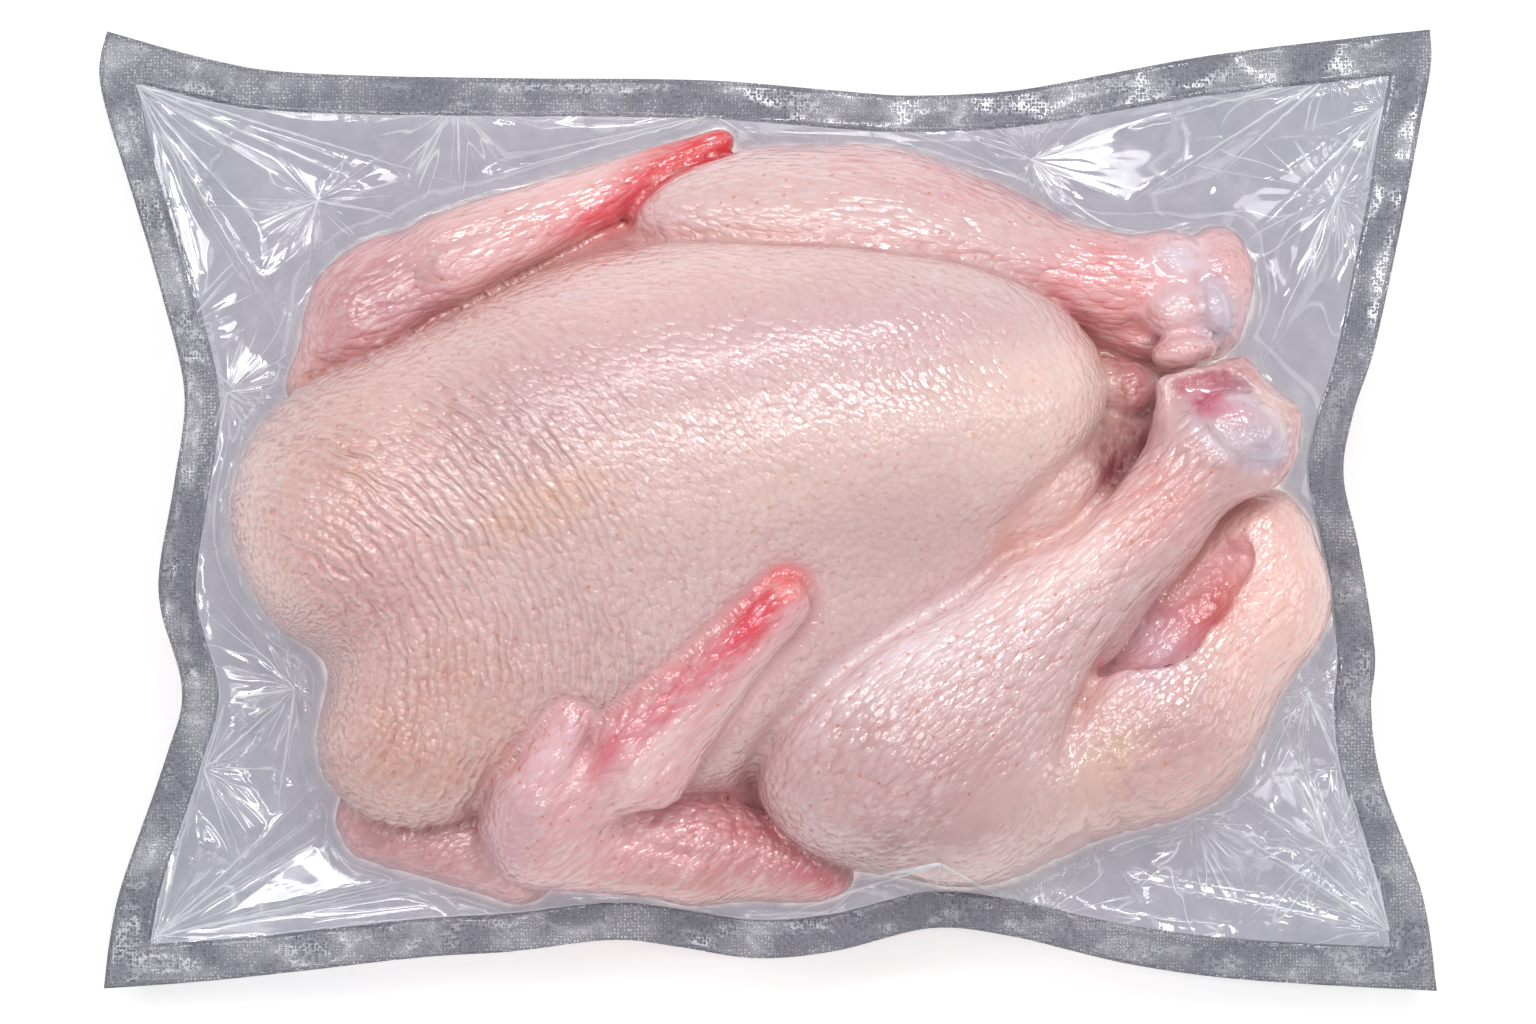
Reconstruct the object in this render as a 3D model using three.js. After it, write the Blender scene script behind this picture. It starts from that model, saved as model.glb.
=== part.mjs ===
// A whole raw chicken, breast up, shrink-tight in a clear vacuum bag that lies flat.
// Millimetres, +Z up. X runs from the neck end to the legs, Y from the near wing to the far wing.
// The bag hides no gap: its two films lie on the skin, and on each other round the bird, so bag
// and bird are one closed solid. The bird is a distance field of blended ellipsoids and tapering
// round rods. The upper film is draped over it from above and the lower film from below.
import * as THREE from "three";

// The bag
const FILM_GAP = 0.5; // film above the skin
const WEB_THICKNESS = 1.6; // both films where they lie on each other
const SEAL_WIDTH = 11;
const SEAL_HEIGHT = 21; // of the sealed edge above the table where nothing lifts it
const SEAL_HOLD = 0.02; // how firmly it keeps that height against the pull of the bird's sides
const CORNER_DROP = 9;
const CORNER_REACH = 90;
const EDGE_WAVE = { height: 2.6, length: 74 };

// The bag's outline from corner to corner, pulled in between the corners by the vacuum
const TOP_EDGE = [
  [-180.2, 130.9], [-150, 122.5], [-126, 119], [-72, 117.3], [-18, 116.7], [18, 114],
  [38, 112.7], [66, 114], [92, 118.6], [120, 123.8], [148, 127.5], [180.3, 131.3],
];
const BOTTOM_EDGE = [
  [-181, -130], [-150, -127.6], [-99, -121.6], [-70, -119.4], [-42.5, -116.2], [-24, -118.2],
  [-3, -121.2], [18, -119.2], [44, -113], [66, -115.2], [98, -122.8], [130, -127.4], [182.2, -130.6],
];
const LEFT_EDGE = [
  [-181, -130], [-177, -105], [-164, -68], [-159, -49], [-164.6, -27], [-164.8, -14],
  [-160.8, 8], [-158.2, 32], [-164, 57], [-172, 84], [-181.8, 116], [-180.2, 130.9],
];
const RIGHT_EDGE = [
  [182.2, -130.6], [178, -104], [167, -74], [163.6, -54], [164.6, -38], [160, -10],
  [155.5, 10], [158, 26], [164, 44], [171, 74], [177.6, 106], [180.6, 122], [180.3, 131.3],
];

// The mesh of the films: cells along and across the upper one. The lower one has half as many.
const CELLS_ALONG = 76;
const CELLS_ACROSS = 54;
const WEB_STEPS = 400;
const DRAPE_STEPS = 30;
const SMOOTH_STEPS = 2;
const DRAPE_RADIUS = 7; // of the curve in which a film bridges a crease

// Valleys in the breast, each along a line in plan from where it is shallow: between the breast's
// two halves, and down to the notch at the neck
const VALLEYS = [
  { start: [-54, 21], end: [86, 45], rise: 4, depth: 3.2, halfWidth: 9, heights: [60, 90] },
  { start: [-80, -12], end: [-128, -46], rise: 1.3, depth: 4.6, halfWidth: 10, heights: [20, 55] },
];
// The near leg's skin runs into the body's at its lower end and stands clear of it elsewhere
const LEG_CREASE = { blend: 2, depth: 2.6 };
const LEG_JOIN = { blend: 14, x: [15, 50], y: [50, 78] };
const CREASE_WIDTH = 3;

// The bird sinks this far into the table before its back is pressed flat
const SETTLE = 4;
const REACH = 140; // a height above everything

// Distance fields. A shape is a function of x, y, z that gives the distance to its surface.
const degrees = THREE.MathUtils.degToRad;
const smoothstep = THREE.MathUtils.smoothstep;

function smoothMin(a, b, k) {
  const h = Math.max(k - Math.abs(a - b), 0) / k;
  return Math.min(a, b) - (h * h * k) / 4;
}

// Joins two fields, with a crease along the line where their surfaces meet
function seam(a, b, k, depth, width = CREASE_WIDTH) {
  return smoothMin(a, b, k) + depth * Math.exp(-(((a - b) / width) ** 2));
}

// turn: degrees about Z, then Y, then X of the ellipsoid itself
function ellipsoid(centre, radii, turn = [0, 0, 0]) {
  const [aboutZ, aboutY, aboutX] = turn.map(degrees);
  const toLocal = new THREE.Matrix4()
    .makeRotationFromEuler(new THREE.Euler(aboutX, aboutY, aboutZ, "ZYX"))
    .transpose();
  const p = new THREE.Vector3();
  return (x, y, z) => {
    p.set(x - centre[0], y - centre[1], z - centre[2]).applyMatrix4(toLocal);
    const near = Math.hypot(p.x / radii[0], p.y / radii[1], p.z / radii[2]);
    const steep = Math.hypot(p.x / radii[0] ** 2, p.y / radii[1] ** 2, p.z / radii[2] ** 2);
    return (near * (near - 1)) / Math.max(steep, 1e-6);
  };
}

// A rod with round ends that tapers from radius ra at a to rb at b
function rod(a, b, ra, rb) {
  const start = new THREE.Vector3(...a);
  const along = new THREE.Vector3(...b).sub(start);
  const length2 = along.lengthSq();
  const taper = ra - rb;
  const slope2 = length2 - taper * taper;
  const p = new THREE.Vector3();
  return (x, y, z) => {
    p.set(x, y, z).sub(start);
    const u = p.dot(along);
    const v = u - length2;
    const side2 = p.multiplyScalar(length2).addScaledVector(along, -u).lengthSq();
    const bend = Math.sign(taper) * taper * taper * side2;
    if (Math.sign(v) * slope2 * v * v * length2 > bend)
      return Math.sqrt(side2 + v * v * length2) / length2 - rb;
    if (Math.sign(u) * slope2 * u * u * length2 < bend)
      return Math.sqrt(side2 + u * u * length2) / length2 - ra;
    return (Math.sqrt((side2 * slope2) / length2) + u * taper) / length2 - ra;
  };
}

function blend(k, ...shapes) {
  return (x, y, z) => shapes.reduce((d, s, i) => (i ? smoothMin(d, s(x, y, z), k) : s(x, y, z)), 0);
}

function carve(k, shape, tool) {
  return (x, y, z) => -smoothMin(-shape(x, y, z), tool(x, y, z), k);
}

function torso() {
  const ribs = ellipsoid([-22, -8, 46], [104, 72, 46], [13, 0, 14]);
  const crown = ellipsoid([-18, 27, 62], [98, 46, 44], [9, 0, 10]);
  const tip = ellipsoid([33, 30.5, 64], [58, 31, 38], [2, 8, 7]);
  const neckEnd = ellipsoid([-104, 0, 48], [41, 40, 42], [15, 0, 0]);
  const shoulder = ellipsoid([-95, -60, 36], [28, 27, 34], [20, 0, 0]);
  const flank = ellipsoid([-76, -38, 40], [38, 40, 38]);
  const side = ellipsoid([2, -66, 22], [36, 24, 20]);
  const farSide = rod([-88, 54, 38], [-18, 78, 38], 13, 13);
  const breast = blend(20, ribs, crown, tip, neckEnd);
  return VALLEYS.reduce(grooved, blend(8, breast, blend(14, shoulder, flank), side, farSide));
}

function grooved(shape, valley) {
  const start = new THREE.Vector2(...valley.start);
  const along = new THREE.Vector2(...valley.end).sub(start);
  const p = new THREE.Vector2();
  return (x, y, z) => {
    p.set(x, y).sub(start);
    const share = THREE.MathUtils.clamp(p.dot(along) / along.lengthSq(), 0, 1);
    const away = p.addScaledVector(along, -share).length() / valley.halfWidth;
    const depth = valley.depth * Math.min(1, valley.rise * share) * smoothstep(z, ...valley.heights);
    return shape(x, y, z) + depth * Math.exp(-away * away);
  };
}

// The body's opening: deepest at its lower rim, rising gently to the tail
function opening() {
  return blend(
    5,
    ellipsoid([107, -23, 63], [26, 15, 8.5], [37, 0, 35]),
    ellipsoid([101, -33, 60], [14, 10, 10]),
  );
}

// The back and tail end, with the fold of skin round the opening
function tailEnd() {
  const pelvis = ellipsoid([70, -12, 32], [62, 56, 32], [10, 0, 0]);
  const belly = ellipsoid([70, 10, 42], [28, 24, 34], [20, 0, 0]);
  const inside = ellipsoid([96, 34, 26], [26, 32, 22]);
  const thigh = rod([58, -71, 38], [104, -54, 40], 29, 27);
  const fold = rod([104, -54, 40], [132, -24, 42], 27, 17.5);
  const tail = rod([132, -24, 42], [131, -8, 46], 17.5, 16);
  const whole = blend(12, blend(14, pelvis, belly, inside), blend(12, thigh, fold, tail));
  const hollow = opening();
  return (x, y, z) => {
    // The opening's rim is crisp below and soft above
    const above = (y + 23) * 0.8 - (x - 107) * 0.6;
    const rim = 1.5 + 9 * smoothstep(above, -2, 10);
    return -smoothMin(-whole(x, y, z), hollow(x, y, z), rim);
  };
}

function vent() {
  return blend(3, rod([84, 36, 50], [98, 33, 54], 9, 8.5), rod([84, 20, 34], [102, 16, 36], 10, 9));
}

function nearLeg() {
  const drumstick = ellipsoid([40, -60, 46], [47.5, 38.5, 35], [12, 0, 6]);
  const taper = rod([46, -53, 48], [101, -4, 60], 34, 13);
  const shank = rod([101, -4, 60], [118, 16, 63], 13, 16);
  return blend(12, drumstick, taper, shank);
}

// The cut end of the near leg: skin round a hollow, in which the joint shows
function nearHock() {
  const knob = ellipsoid([122.5, 22.5, 62], [20.5, 17, 17.5], [-30, 0, 0]);
  const upperCollar = rod([108, 34, 66], [126, 36, 66], 5, 5.5);
  const collar = blend(3, upperCollar, rod([137, 24, 66], [133, 11, 66], 6, 5.5));
  const hollow = ellipsoid([119, 27, 82], [19, 13.5, 15], [-28, 0, 0]);
  const flap = rod([131, 9.5, 67], [114, 7, 66], 5.5, 6);
  return blend(2, carve(1.6, blend(3, knob, collar), hollow), flap);
}

function nearJoint() {
  return ellipsoid([125.5, 21.2, 71], [13.5, 11.3, 10.5], [-20, 0, 0]);
}

function farLeg() {
  const drumstick = ellipsoid([20, 71, 45], [63, 27, 33], [-7, 0, 0]);
  const taper = rod([30, 69, 46], [88, 62, 50], 27, 11.5);
  const shank = rod([88, 62, 50], [110, 61, 52], 11.5, 13.5);
  const tendon = rod([78, 57, 42], [101, 47, 47], 9.5, 8);
  return blend(3, blend(10, drumstick, taper, shank), tendon);
}

// The cut end of the far leg, seen from the side: a tall rim, two lobes and a strap of skin
function farHock() {
  const rim = ellipsoid([119.5, 58.5, 50], [11.5, 18.5, 15], [-6, 0, 0]);
  const upper = ellipsoid([109, 67, 55], [12, 8, 11], [-20, 0, 0]);
  const lower = ellipsoid([110.5, 54.5, 58], [11, 8.5, 10.5], [10, 0, 0]);
  const strap = ellipsoid([111.5, 42.3, 61], [9.8, 6.2, 8], [12, 0, 0]);
  return blend(1.5, blend(2.5, rim, upper, lower), strap);
}

function farJoint() {
  return ellipsoid([119.5, 55, 61], [5, 8.5, 8.5], [15, 0, 0]);
}

function nearHand() {
  const bones = rod([-38, -58, 67], [4.5, -21.5, 86], 10.5, 7.2);
  const sheet = rod([-34, -65, 66], [6.5, -31, 83], 9, 6);
  const edge = rod([-28, -72, 64], [9.4, -36, 81], 6, 4.6);
  const palm = rod([-58, -76, 54], [-36, -68, 62], 15, 11);
  const wrist = ellipsoid([-60, -80, 49], [19, 19, 16], [30, 0, 0]);
  return blend(8, blend(7, bones, sheet, edge), blend(8, palm, wrist));
}

function nearWing() {
  const forearm = blend(
    6,
    rod([-62, -86, 42], [-20, -90.5, 38], 16.5, 15),
    rod([-20, -90.5, 38], [13, -94.5, 34], 15, 12),
  );
  const upperArm = rod([-104, -82, 30], [-68, -94, 30], 14, 13);
  const limb = blend(2, blend(5, nearHand(), forearm), upperArm);
  const thumb = rod([-60, -76, 58], [-51.5, -54, 74], 10.5, 5);
  return (x, y, z) => seam(limb(x, y, z), thumb(x, y, z), 2.5, 1.4, 1.5);
}

function farWing() {
  const wrist = ellipsoid([-104, 56, 52], [21, 17, 16], [40, 0, 0]);
  const hand = rod([-84, 67, 58], [-13, 98.6, 47], 13.6, 4.4);
  const forearm = rod([-108, 50, 48], [-120, 32, 42], 15, 11);
  return blend(8, wrist, hand, forearm);
}

// The whole bird. Each seam's numbers are its blend, the depth of its crease and, if it is a
// narrow one, its width.
function chicken() {
  const parts = [
    torso(), tailEnd(), vent(), farLeg(), farHock(), farJoint(),
    nearLeg(), nearHock(), nearJoint(), nearWing(), farWing(),
  ];
  return (x, y, height) => {
    const distances = parts.map((part) => part(x, y, height + SETTLE));
    const [body, tail, lobes, thigh, knob, bone, drumstick, collar, joint, wing, otherWing] = distances;
    const trunk = seam(seam(body, tail, 5, 1.5), lobes, 2, 1);
    const farSide = seam(thigh, seam(knob, bone, 1.2, 0.5, 1), 4, 0.4);
    const nearSide = seam(smoothMin(drumstick, collar, 5), joint, 1, 0.6, 1);
    const joined = smoothstep(x, ...LEG_JOIN.x) * smoothstep(-y, ...LEG_JOIN.y);
    const crease = [LEG_CREASE.blend + LEG_JOIN.blend * joined, LEG_CREASE.depth * (1 - joined)];
    const legged = seam(seam(trunk, farSide, 2, 2), nearSide, ...crease);
    return seam(seam(legged, wing, 1.6, 2), otherWing, 1.6, 2);
  };
}

// Height at which a vertical line from z meets the shape, going up or down, or null if it misses
function meet(shape, x, y, from, to) {
  const way = Math.sign(to - from);
  const nearEnough = 0.03;
  const caution = 0.8; // an ellipsoid's field is only roughly a distance
  let z = from;
  while ((to - z) * way > 0) {
    const d = shape(x, y, z);
    if (d < nearEnough) return z;
    z += way * Math.max(d, nearEnough) * caution;
  }
  return null;
}

// The bag in plan: a patch between its four edges, with shares from 0 to 1 along and across
function bagPlan() {
  const curve = (points) => new THREE.SplineCurve(points.map((p) => new THREE.Vector2(...p)));
  const [top, bottom, left, right] = [TOP_EDGE, BOTTOM_EDGE, LEFT_EDGE, RIGHT_EDGE].map(curve);
  const corner = (points, end) => new THREE.Vector2(...points.at(end));
  const corners = [BOTTOM_EDGE, TOP_EDGE].flatMap((points) => [corner(points, 0), corner(points, -1)]);
  return (u, v) => {
    const across = top.getPointAt(u).multiplyScalar(v).addScaledVector(bottom.getPointAt(u), 1 - v);
    const along = right.getPointAt(v).multiplyScalar(u).addScaledVector(left.getPointAt(v), 1 - u);
    const flat = new THREE.Vector2()
      .addScaledVector(corners[0], (1 - u) * (1 - v))
      .addScaledVector(corners[1], u * (1 - v))
      .addScaledVector(corners[2], (1 - u) * v)
      .addScaledVector(corners[3], u * v);
    return across.add(along).sub(flat);
  };
}

// Shares for the rows of cells: two in each sealed edge, and even ones between them
function rowShares(cells, length) {
  const seal = SEAL_WIDTH / length;
  const inner = cells - 4;
  return Array.from({ length: cells + 1 }, (_, i) => {
    if (i < 2) return (i * seal) / 2;
    if (i > cells - 2) return 1 - ((cells - i) * seal) / 2;
    return seal + ((1 - 2 * seal) * (i - 2)) / inner;
  });
}

// Height of the sealed edge, which waves and hangs a little at the corners
function sealHeight(cornerInset, alongEdge) {
  const drop = CORNER_DROP * (1 - smoothstep(cornerInset, 0, CORNER_REACH));
  return SEAL_HEIGHT - drop + EDGE_WAVE.height * Math.sin((2 * Math.PI * alongEdge) / EDGE_WAVE.length);
}

// Gives every node of a grid of heights a new one, again and again, by a rule that is handed the
// mean height of the nodes round it and its own
function relax(heights, steps, rule) {
  let now = heights;
  for (let step = 0; step < steps; step++) {
    const row = (j) => now[THREE.MathUtils.clamp(j, 0, now.length - 1)];
    const at = (j, i) => row(j)[THREE.MathUtils.clamp(i, 0, now[0].length - 1)];
    const mean = (j, i) => (at(j - 1, i) + at(j + 1, i) + at(j, i - 1) + at(j, i + 1)) / 4;
    now = now.map((line, j) => line.map((own, i) => rule(mean(j, i), j, i, own)));
  }
  return now;
}

// Places in plan where the films are worked out, with the bird's highest and lowest point there
function filmPlaces() {
  const bird = chicken();
  const plan = bagPlan();
  const width = TOP_EDGE.at(-1)[0] - TOP_EDGE[0][0];
  const depth = TOP_EDGE[0][1] - BOTTOM_EDGE[0][1];
  const along = rowShares(CELLS_ALONG, width);
  return rowShares(CELLS_ACROSS, depth).map((v) =>
    along.map((u) => {
      const { x, y } = plan(u, v);
      const insetX = Math.min(u, 1 - u) * width;
      const insetY = Math.min(v, 1 - v) * depth;
      const rest = sealHeight(Math.hypot(insetX, insetY), insetX < insetY ? y : x);
      const sealed = Math.min(insetX, insetY) <= SEAL_WIDTH;
      const top = sealed ? null : meet(bird, x, y, REACH, 0);
      const back = top === null ? null : meet(bird, x, y, -2 * SETTLE, top);
      return { x, y, rest, sealed, top, back };
    }),
  );
}

// Heights of both films. Their web spans from the bird's sides to the seal, which it lifts, and
// over the bird each film bridges the creases of the skin in a curve.
function filmHeights(places) {
  const web = relax(
    places.map((row) => row.map((p) => (p.top === null ? p.rest : (p.top + p.back) / 2))),
    WEB_STEPS,
    (mean, j, i) => {
      const p = places[j][i];
      if (p.sealed) return mean + (p.rest - mean) * SEAL_HOLD;
      return p.top === null ? mean : THREE.MathUtils.clamp(mean, p.back, p.top);
    },
  );
  const half = WEB_THICKNESS / 2;
  const cell = (places[0].at(-1).x - places[0][0].x) / CELLS_ALONG;
  const bend = cell ** 2 / (4 * DRAPE_RADIUS);
  const highest = places.map((row, j) =>
    row.map((p, i) => Math.max(web[j][i] + half, p.top === null ? 0 : p.top + FILM_GAP)),
  );
  const lowest = places.map((row, j) =>
    row.map((p, i) => Math.max(0, Math.min(web[j][i] - half, p.top === null ? REACH : p.back - FILM_GAP))),
  );
  const over = (mean, j, i) => (places[j][i].sealed ? highest[j][i] : Math.max(highest[j][i], mean - bend));
  const under = (mean, j, i) => (places[j][i].sealed ? lowest[j][i] : Math.min(lowest[j][i], mean + bend));
  const smooth = (mean, j, i, own) => (places[j][i].sealed ? own : (mean + own) / 2);
  return {
    upper: relax(relax(highest, DRAPE_STEPS, over), SMOOTH_STEPS, smooth),
    lower: relax(relax(lowest, DRAPE_STEPS, under), SMOOTH_STEPS, smooth),
  };
}

// Both films and the edge between them as one closed surface. The lower film's cells are twice
// as long, so the edge has three triangles for each of them.
function sealedBag() {
  const places = filmPlaces();
  const { upper, lower } = filmHeights(places);
  const positions = [];
  const triangles = [];
  const add = (j, i, height) => {
    positions.push(places[j][i].x, places[j][i].y, Math.max(height, 0));
    return positions.length / 3 - 1;
  };
  const top = upper.map((row, j) => row.map((height, i) => add(j, i, height)));
  const base = [];
  for (let j = 0; j <= CELLS_ACROSS; j += 2) {
    base.push([]);
    for (let i = 0; i <= CELLS_ALONG; i += 2) base.at(-1).push(add(j, i, lower[j][i]));
  }
  const quads = (grid, facingUp) => {
    for (let j = 0; j + 1 < grid.length; j++)
      for (let i = 0; i + 1 < grid[0].length; i++) {
        const [a, b, c, d] = [grid[j][i], grid[j][i + 1], grid[j + 1][i + 1], grid[j + 1][i]];
        const leaning = (i + j) % 2 ? [a, b, d, b, c, d] : [a, b, c, a, c, d];
        triangles.push(...(facingUp ? leaning : leaning.reverse()));
      }
  };
  quads(top, true);
  quads(base, false);
  const rim = (upperRow, lowerRow) => {
    for (let k = 0; k + 1 < lowerRow.length; k++) {
      const [p, q] = [lowerRow[k], lowerRow[k + 1]];
      const [a, b, c] = [upperRow[2 * k], upperRow[2 * k + 1], upperRow[2 * k + 2]];
      triangles.push(p, b, a, p, q, b, q, c, b);
    }
  };
  const column = (grid, i) => grid.map((row) => row[i]);
  rim(top[0], base[0]);
  rim(column(top, CELLS_ALONG), column(base, CELLS_ALONG / 2));
  rim([...top[CELLS_ACROSS]].reverse(), [...base[CELLS_ACROSS / 2]].reverse());
  rim(column(top, 0).reverse(), column(base, 0).reverse());
  const geometry = new THREE.BufferGeometry();
  geometry.setAttribute("position", new THREE.Float32BufferAttribute(positions, 3));
  geometry.setIndex(triangles);
  return geometry;
}

// Moves the bag so that the middle of its box is on the Z axis, with its back on the table
function centred(geometry) {
  geometry.computeBoundingBox();
  const middle = geometry.boundingBox.getCenter(new THREE.Vector3());
  geometry.translate(-middle.x, -middle.y, -geometry.boundingBox.min.z);
  geometry.computeVertexNormals();
  return geometry;
}

const pack = new THREE.Group();
const skin = new THREE.MeshStandardMaterial({ color: 0xeccfc6, roughness: 0.3, metalness: 0 });
const bag = new THREE.Mesh(centred(sealedBag()), skin);
bag.name = "vacuum_bag_with_chicken";
pack.add(bag);

export default pack;
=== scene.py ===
"""Looks of a whole raw chicken in a clear vacuum bag, seen from straight above.

The bird is meshed from a distance field of blended ellipsoids and tapering rods, in millimetres,
then gets the folds, goose bumps and furrows of its skin. The two films of the bag are height
fields over the bag's plan: they lie on the skin, and on each other round the bird, where they are
creased. A sealed, embossed edge runs all round.
"""
import math

import bpy
import numpy as np
import openvdb
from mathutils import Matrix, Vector, geometry
from mathutils.bvhtree import BVHTree


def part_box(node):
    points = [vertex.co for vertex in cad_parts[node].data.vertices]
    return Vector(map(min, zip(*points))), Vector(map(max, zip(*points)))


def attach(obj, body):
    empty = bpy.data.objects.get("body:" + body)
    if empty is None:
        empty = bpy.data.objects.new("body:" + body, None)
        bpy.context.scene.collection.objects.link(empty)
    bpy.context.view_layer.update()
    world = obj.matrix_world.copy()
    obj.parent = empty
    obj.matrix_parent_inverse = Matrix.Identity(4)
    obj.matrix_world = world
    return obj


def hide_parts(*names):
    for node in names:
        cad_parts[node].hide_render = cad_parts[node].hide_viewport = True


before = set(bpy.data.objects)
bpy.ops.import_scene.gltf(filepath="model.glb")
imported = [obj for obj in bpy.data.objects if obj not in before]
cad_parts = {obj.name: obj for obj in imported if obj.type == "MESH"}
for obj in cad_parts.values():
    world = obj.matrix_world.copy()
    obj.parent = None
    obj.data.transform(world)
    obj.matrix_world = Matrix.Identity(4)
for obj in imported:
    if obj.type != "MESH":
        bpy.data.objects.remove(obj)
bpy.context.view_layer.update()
BAG_NODE = "vacuum_bag_with_chicken"
MM = 0.001

# The bag, in millimetres
FILM_GAP = 0.55
WEB_THICKNESS = 0.5
SEAL_WIDTH = 11.0
SEAL_HEIGHT = 21.0
SEAL_HOLD = 0.02
CORNER_DROP = 9.0
CORNER_REACH = 90.0
WAVE_HEIGHT = 2.6
WAVE_LENGTH = 74.0
TOP_EDGE = [
    (-180.2, 130.9), (-150, 122.5), (-126, 119), (-72, 117.3), (-18, 116.7), (18, 114),
    (38, 112.7), (66, 114), (92, 118.6), (120, 123.8), (148, 127.5), (180.3, 131.3),
]
BOTTOM_EDGE = [
    (-181, -130), (-150, -127.6), (-99, -121.6), (-70, -119.4), (-42.5, -116.2), (-24, -118.2),
    (-3, -121.2), (18, -119.2), (44, -113), (66, -115.2), (98, -122.8), (130, -127.4), (182.2, -130.6),
]
LEFT_EDGE = [
    (-181, -130), (-177, -105), (-164, -68), (-159, -49), (-164.6, -27), (-164.8, -14),
    (-160.8, 8), (-158.2, 32), (-164, 57), (-172, 84), (-181.8, 116), (-180.2, 130.9),
]
RIGHT_EDGE = [
    (182.2, -130.6), (178, -104), (167, -74), (163.6, -54), (164.6, -38), (160, -10),
    (155.5, 10), (158, 26), (164, 44), (171, 74), (177.6, 106), (180.6, 122), (180.3, 131.3),
]
BAG_LENGTH = TOP_EDGE[-1][0] - TOP_EDGE[0][0]
BAG_DEPTH = TOP_EDGE[0][1] - BOTTOM_EDGE[0][1]
UPPER_CELL = 1.0
LOWER_CELL = 1.6
WEB_CELL = 5.0
WEB_STEPS = 400
DRAPE_RADIUS = 3.5
DRAPE_STEPS = 24
FOLD_HEIGHT = 3.6
FILM_GREY = (0.36, 0.36, 0.48, 1)
SKIN_COVER = 0.01
WEB_COVER = {1: 0.45, -1: 0.5}

# The bird
SETTLE = 4.0  # how far it sinks into the table before its back is pressed flat
SKIN_DEPTH = 0.5
HIGHEST_BUMP = 0.7
VOXEL = 1.2
BLOCK = 4
FIELD_LOW = (-152.0, -114.0, 0.0)
BLOCK_COUNT = (65, 46, 23)
NEAR_BAND = 12.0


def smoothstep(x, low, high):
    t = np.clip((x - low) / (high - low), 0.0, 1.0)
    return t * t * (3.0 - 2.0 * t)


def smooth_min(a, b, k):
    h = np.maximum(k - np.abs(a - b), 0.0) / k
    return np.minimum(a, b) - h * h * k / 4.0


def seam(a, b, k, depth, width=3.0):
    """Joins two fields, with a crease along the line where their surfaces meet."""
    return smooth_min(a, b, k) + depth * np.exp(-(((a - b) / width) ** 2))


def ellipsoid(centre, radii, turn=(0, 0, 0)):
    """A field whose ellipsoid is turned about Z, then Y, then X, in degrees."""
    (cz, sz), (cy, sy), (cx, sx) = ((math.cos(a), math.sin(a)) for a in np.radians(turn))
    about_z = np.array([(cz, -sz, 0), (sz, cz, 0), (0, 0, 1)])
    about_y = np.array([(cy, 0, sy), (0, 1, 0), (-sy, 0, cy)])
    about_x = np.array([(1, 0, 0), (0, cx, -sx), (0, sx, cx)])
    turned = np.float32(about_z @ about_y @ about_x)
    centre, radii = np.float32(centre), np.float32(radii)

    def field(p):
        q = (p - centre) @ turned / radii
        near = np.sqrt(np.einsum("ij,ij->i", q, q))
        q /= radii
        steep = np.sqrt(np.einsum("ij,ij->i", q, q))
        return near * (near - 1.0) / np.maximum(steep, 1e-6)

    return field


def rod(a, b, ra, rb):
    """A field of a rod with round ends, from radius ra at a to rb at b."""
    a, b = np.float32(a), np.float32(b)
    along = b - a
    length2 = float(along @ along)
    taper = ra - rb
    slope2 = length2 - taper * taper

    def field(p):
        q = p - a
        u = q @ along
        v = u - length2
        side = q * length2 - u[:, None] * along
        side2 = np.einsum("ij,ij->i", side, side)
        bend = np.sign(taper) * taper * taper * side2
        d = (np.sqrt(side2 * slope2 / length2) + u * taper) / length2 - ra
        past_b = np.sign(v) * slope2 * v * v * length2 > bend
        before_a = ~past_b & (np.sign(u) * slope2 * u * u * length2 < bend)
        d = np.where(past_b, np.sqrt(side2 + v * v * length2) / length2 - rb, d)
        return np.where(before_a, np.sqrt(side2 + u * u * length2) / length2 - ra, d)

    return field


def blend(k, *shapes):
    def field(p):
        d = shapes[0](p)
        for shape in shapes[1:]:
            d = smooth_min(d, shape(p), k)
        return d

    return field


def carve(k, shape, tool):
    return lambda p: -smooth_min(-shape(p), tool(p), k)


def line_share(p, start, end):
    """Distance in plan from a line, and the share of its length, for each point."""
    start, end = np.float32(start), np.float32(end)
    q = p[:, :2] - start
    along = end - start
    share = np.clip(q @ along / float(along @ along), 0.0, 1.0)
    return np.linalg.norm(q - share[:, None] * along, axis=1), share


# Valleys in the breast along lines in plan: between its two halves, and up from the notch at the
# neck. Each has its two ends, how soon it gets deep, its depth, half width and range of height.
VALLEYS = [
    ((-54, 21), (86, 45), 4.0, 3.2, 9.0, (60, 90)),
    ((-80, -12), (-128, -46), 1.3, 4.6, 10.0, (20, 55)),
]


def torso():
    ribs = ellipsoid((-22, -8, 46), (104, 72, 46), (13, 0, 14))
    crown = ellipsoid((-18, 27, 62), (98, 46, 44), (9, 0, 10))
    tip = ellipsoid((33, 30.5, 64), (58, 31, 38), (2, 8, 7))
    neck_end = ellipsoid((-104, 0, 48), (41, 40, 42), (15, 0, 0))
    breast = blend(20, ribs, crown, tip, neck_end)
    shoulder = ellipsoid((-95, -60, 36), (28, 27, 34), (20, 0, 0))
    side = ellipsoid((2, -66, 22), (36, 24, 20))
    far_side = rod((-88, 52, 45), (-18, 76, 45), 13, 13)
    flank = ellipsoid((-76, -38, 40), (38, 40, 38))

    return grooved(blend(8, breast, blend(14, shoulder, flank), side, far_side))


def grooved(shape):
    def field(p):
        d = shape(p)
        for start, end, rise, depth, half_width, above in VALLEYS:
            away, share = line_share(p, start, end)
            deep = depth * np.minimum(1.0, rise * share) * smoothstep(p[:, 2], *above)
            d = d + deep * np.exp(-((away / half_width) ** 2))
        return d

    return field


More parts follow.
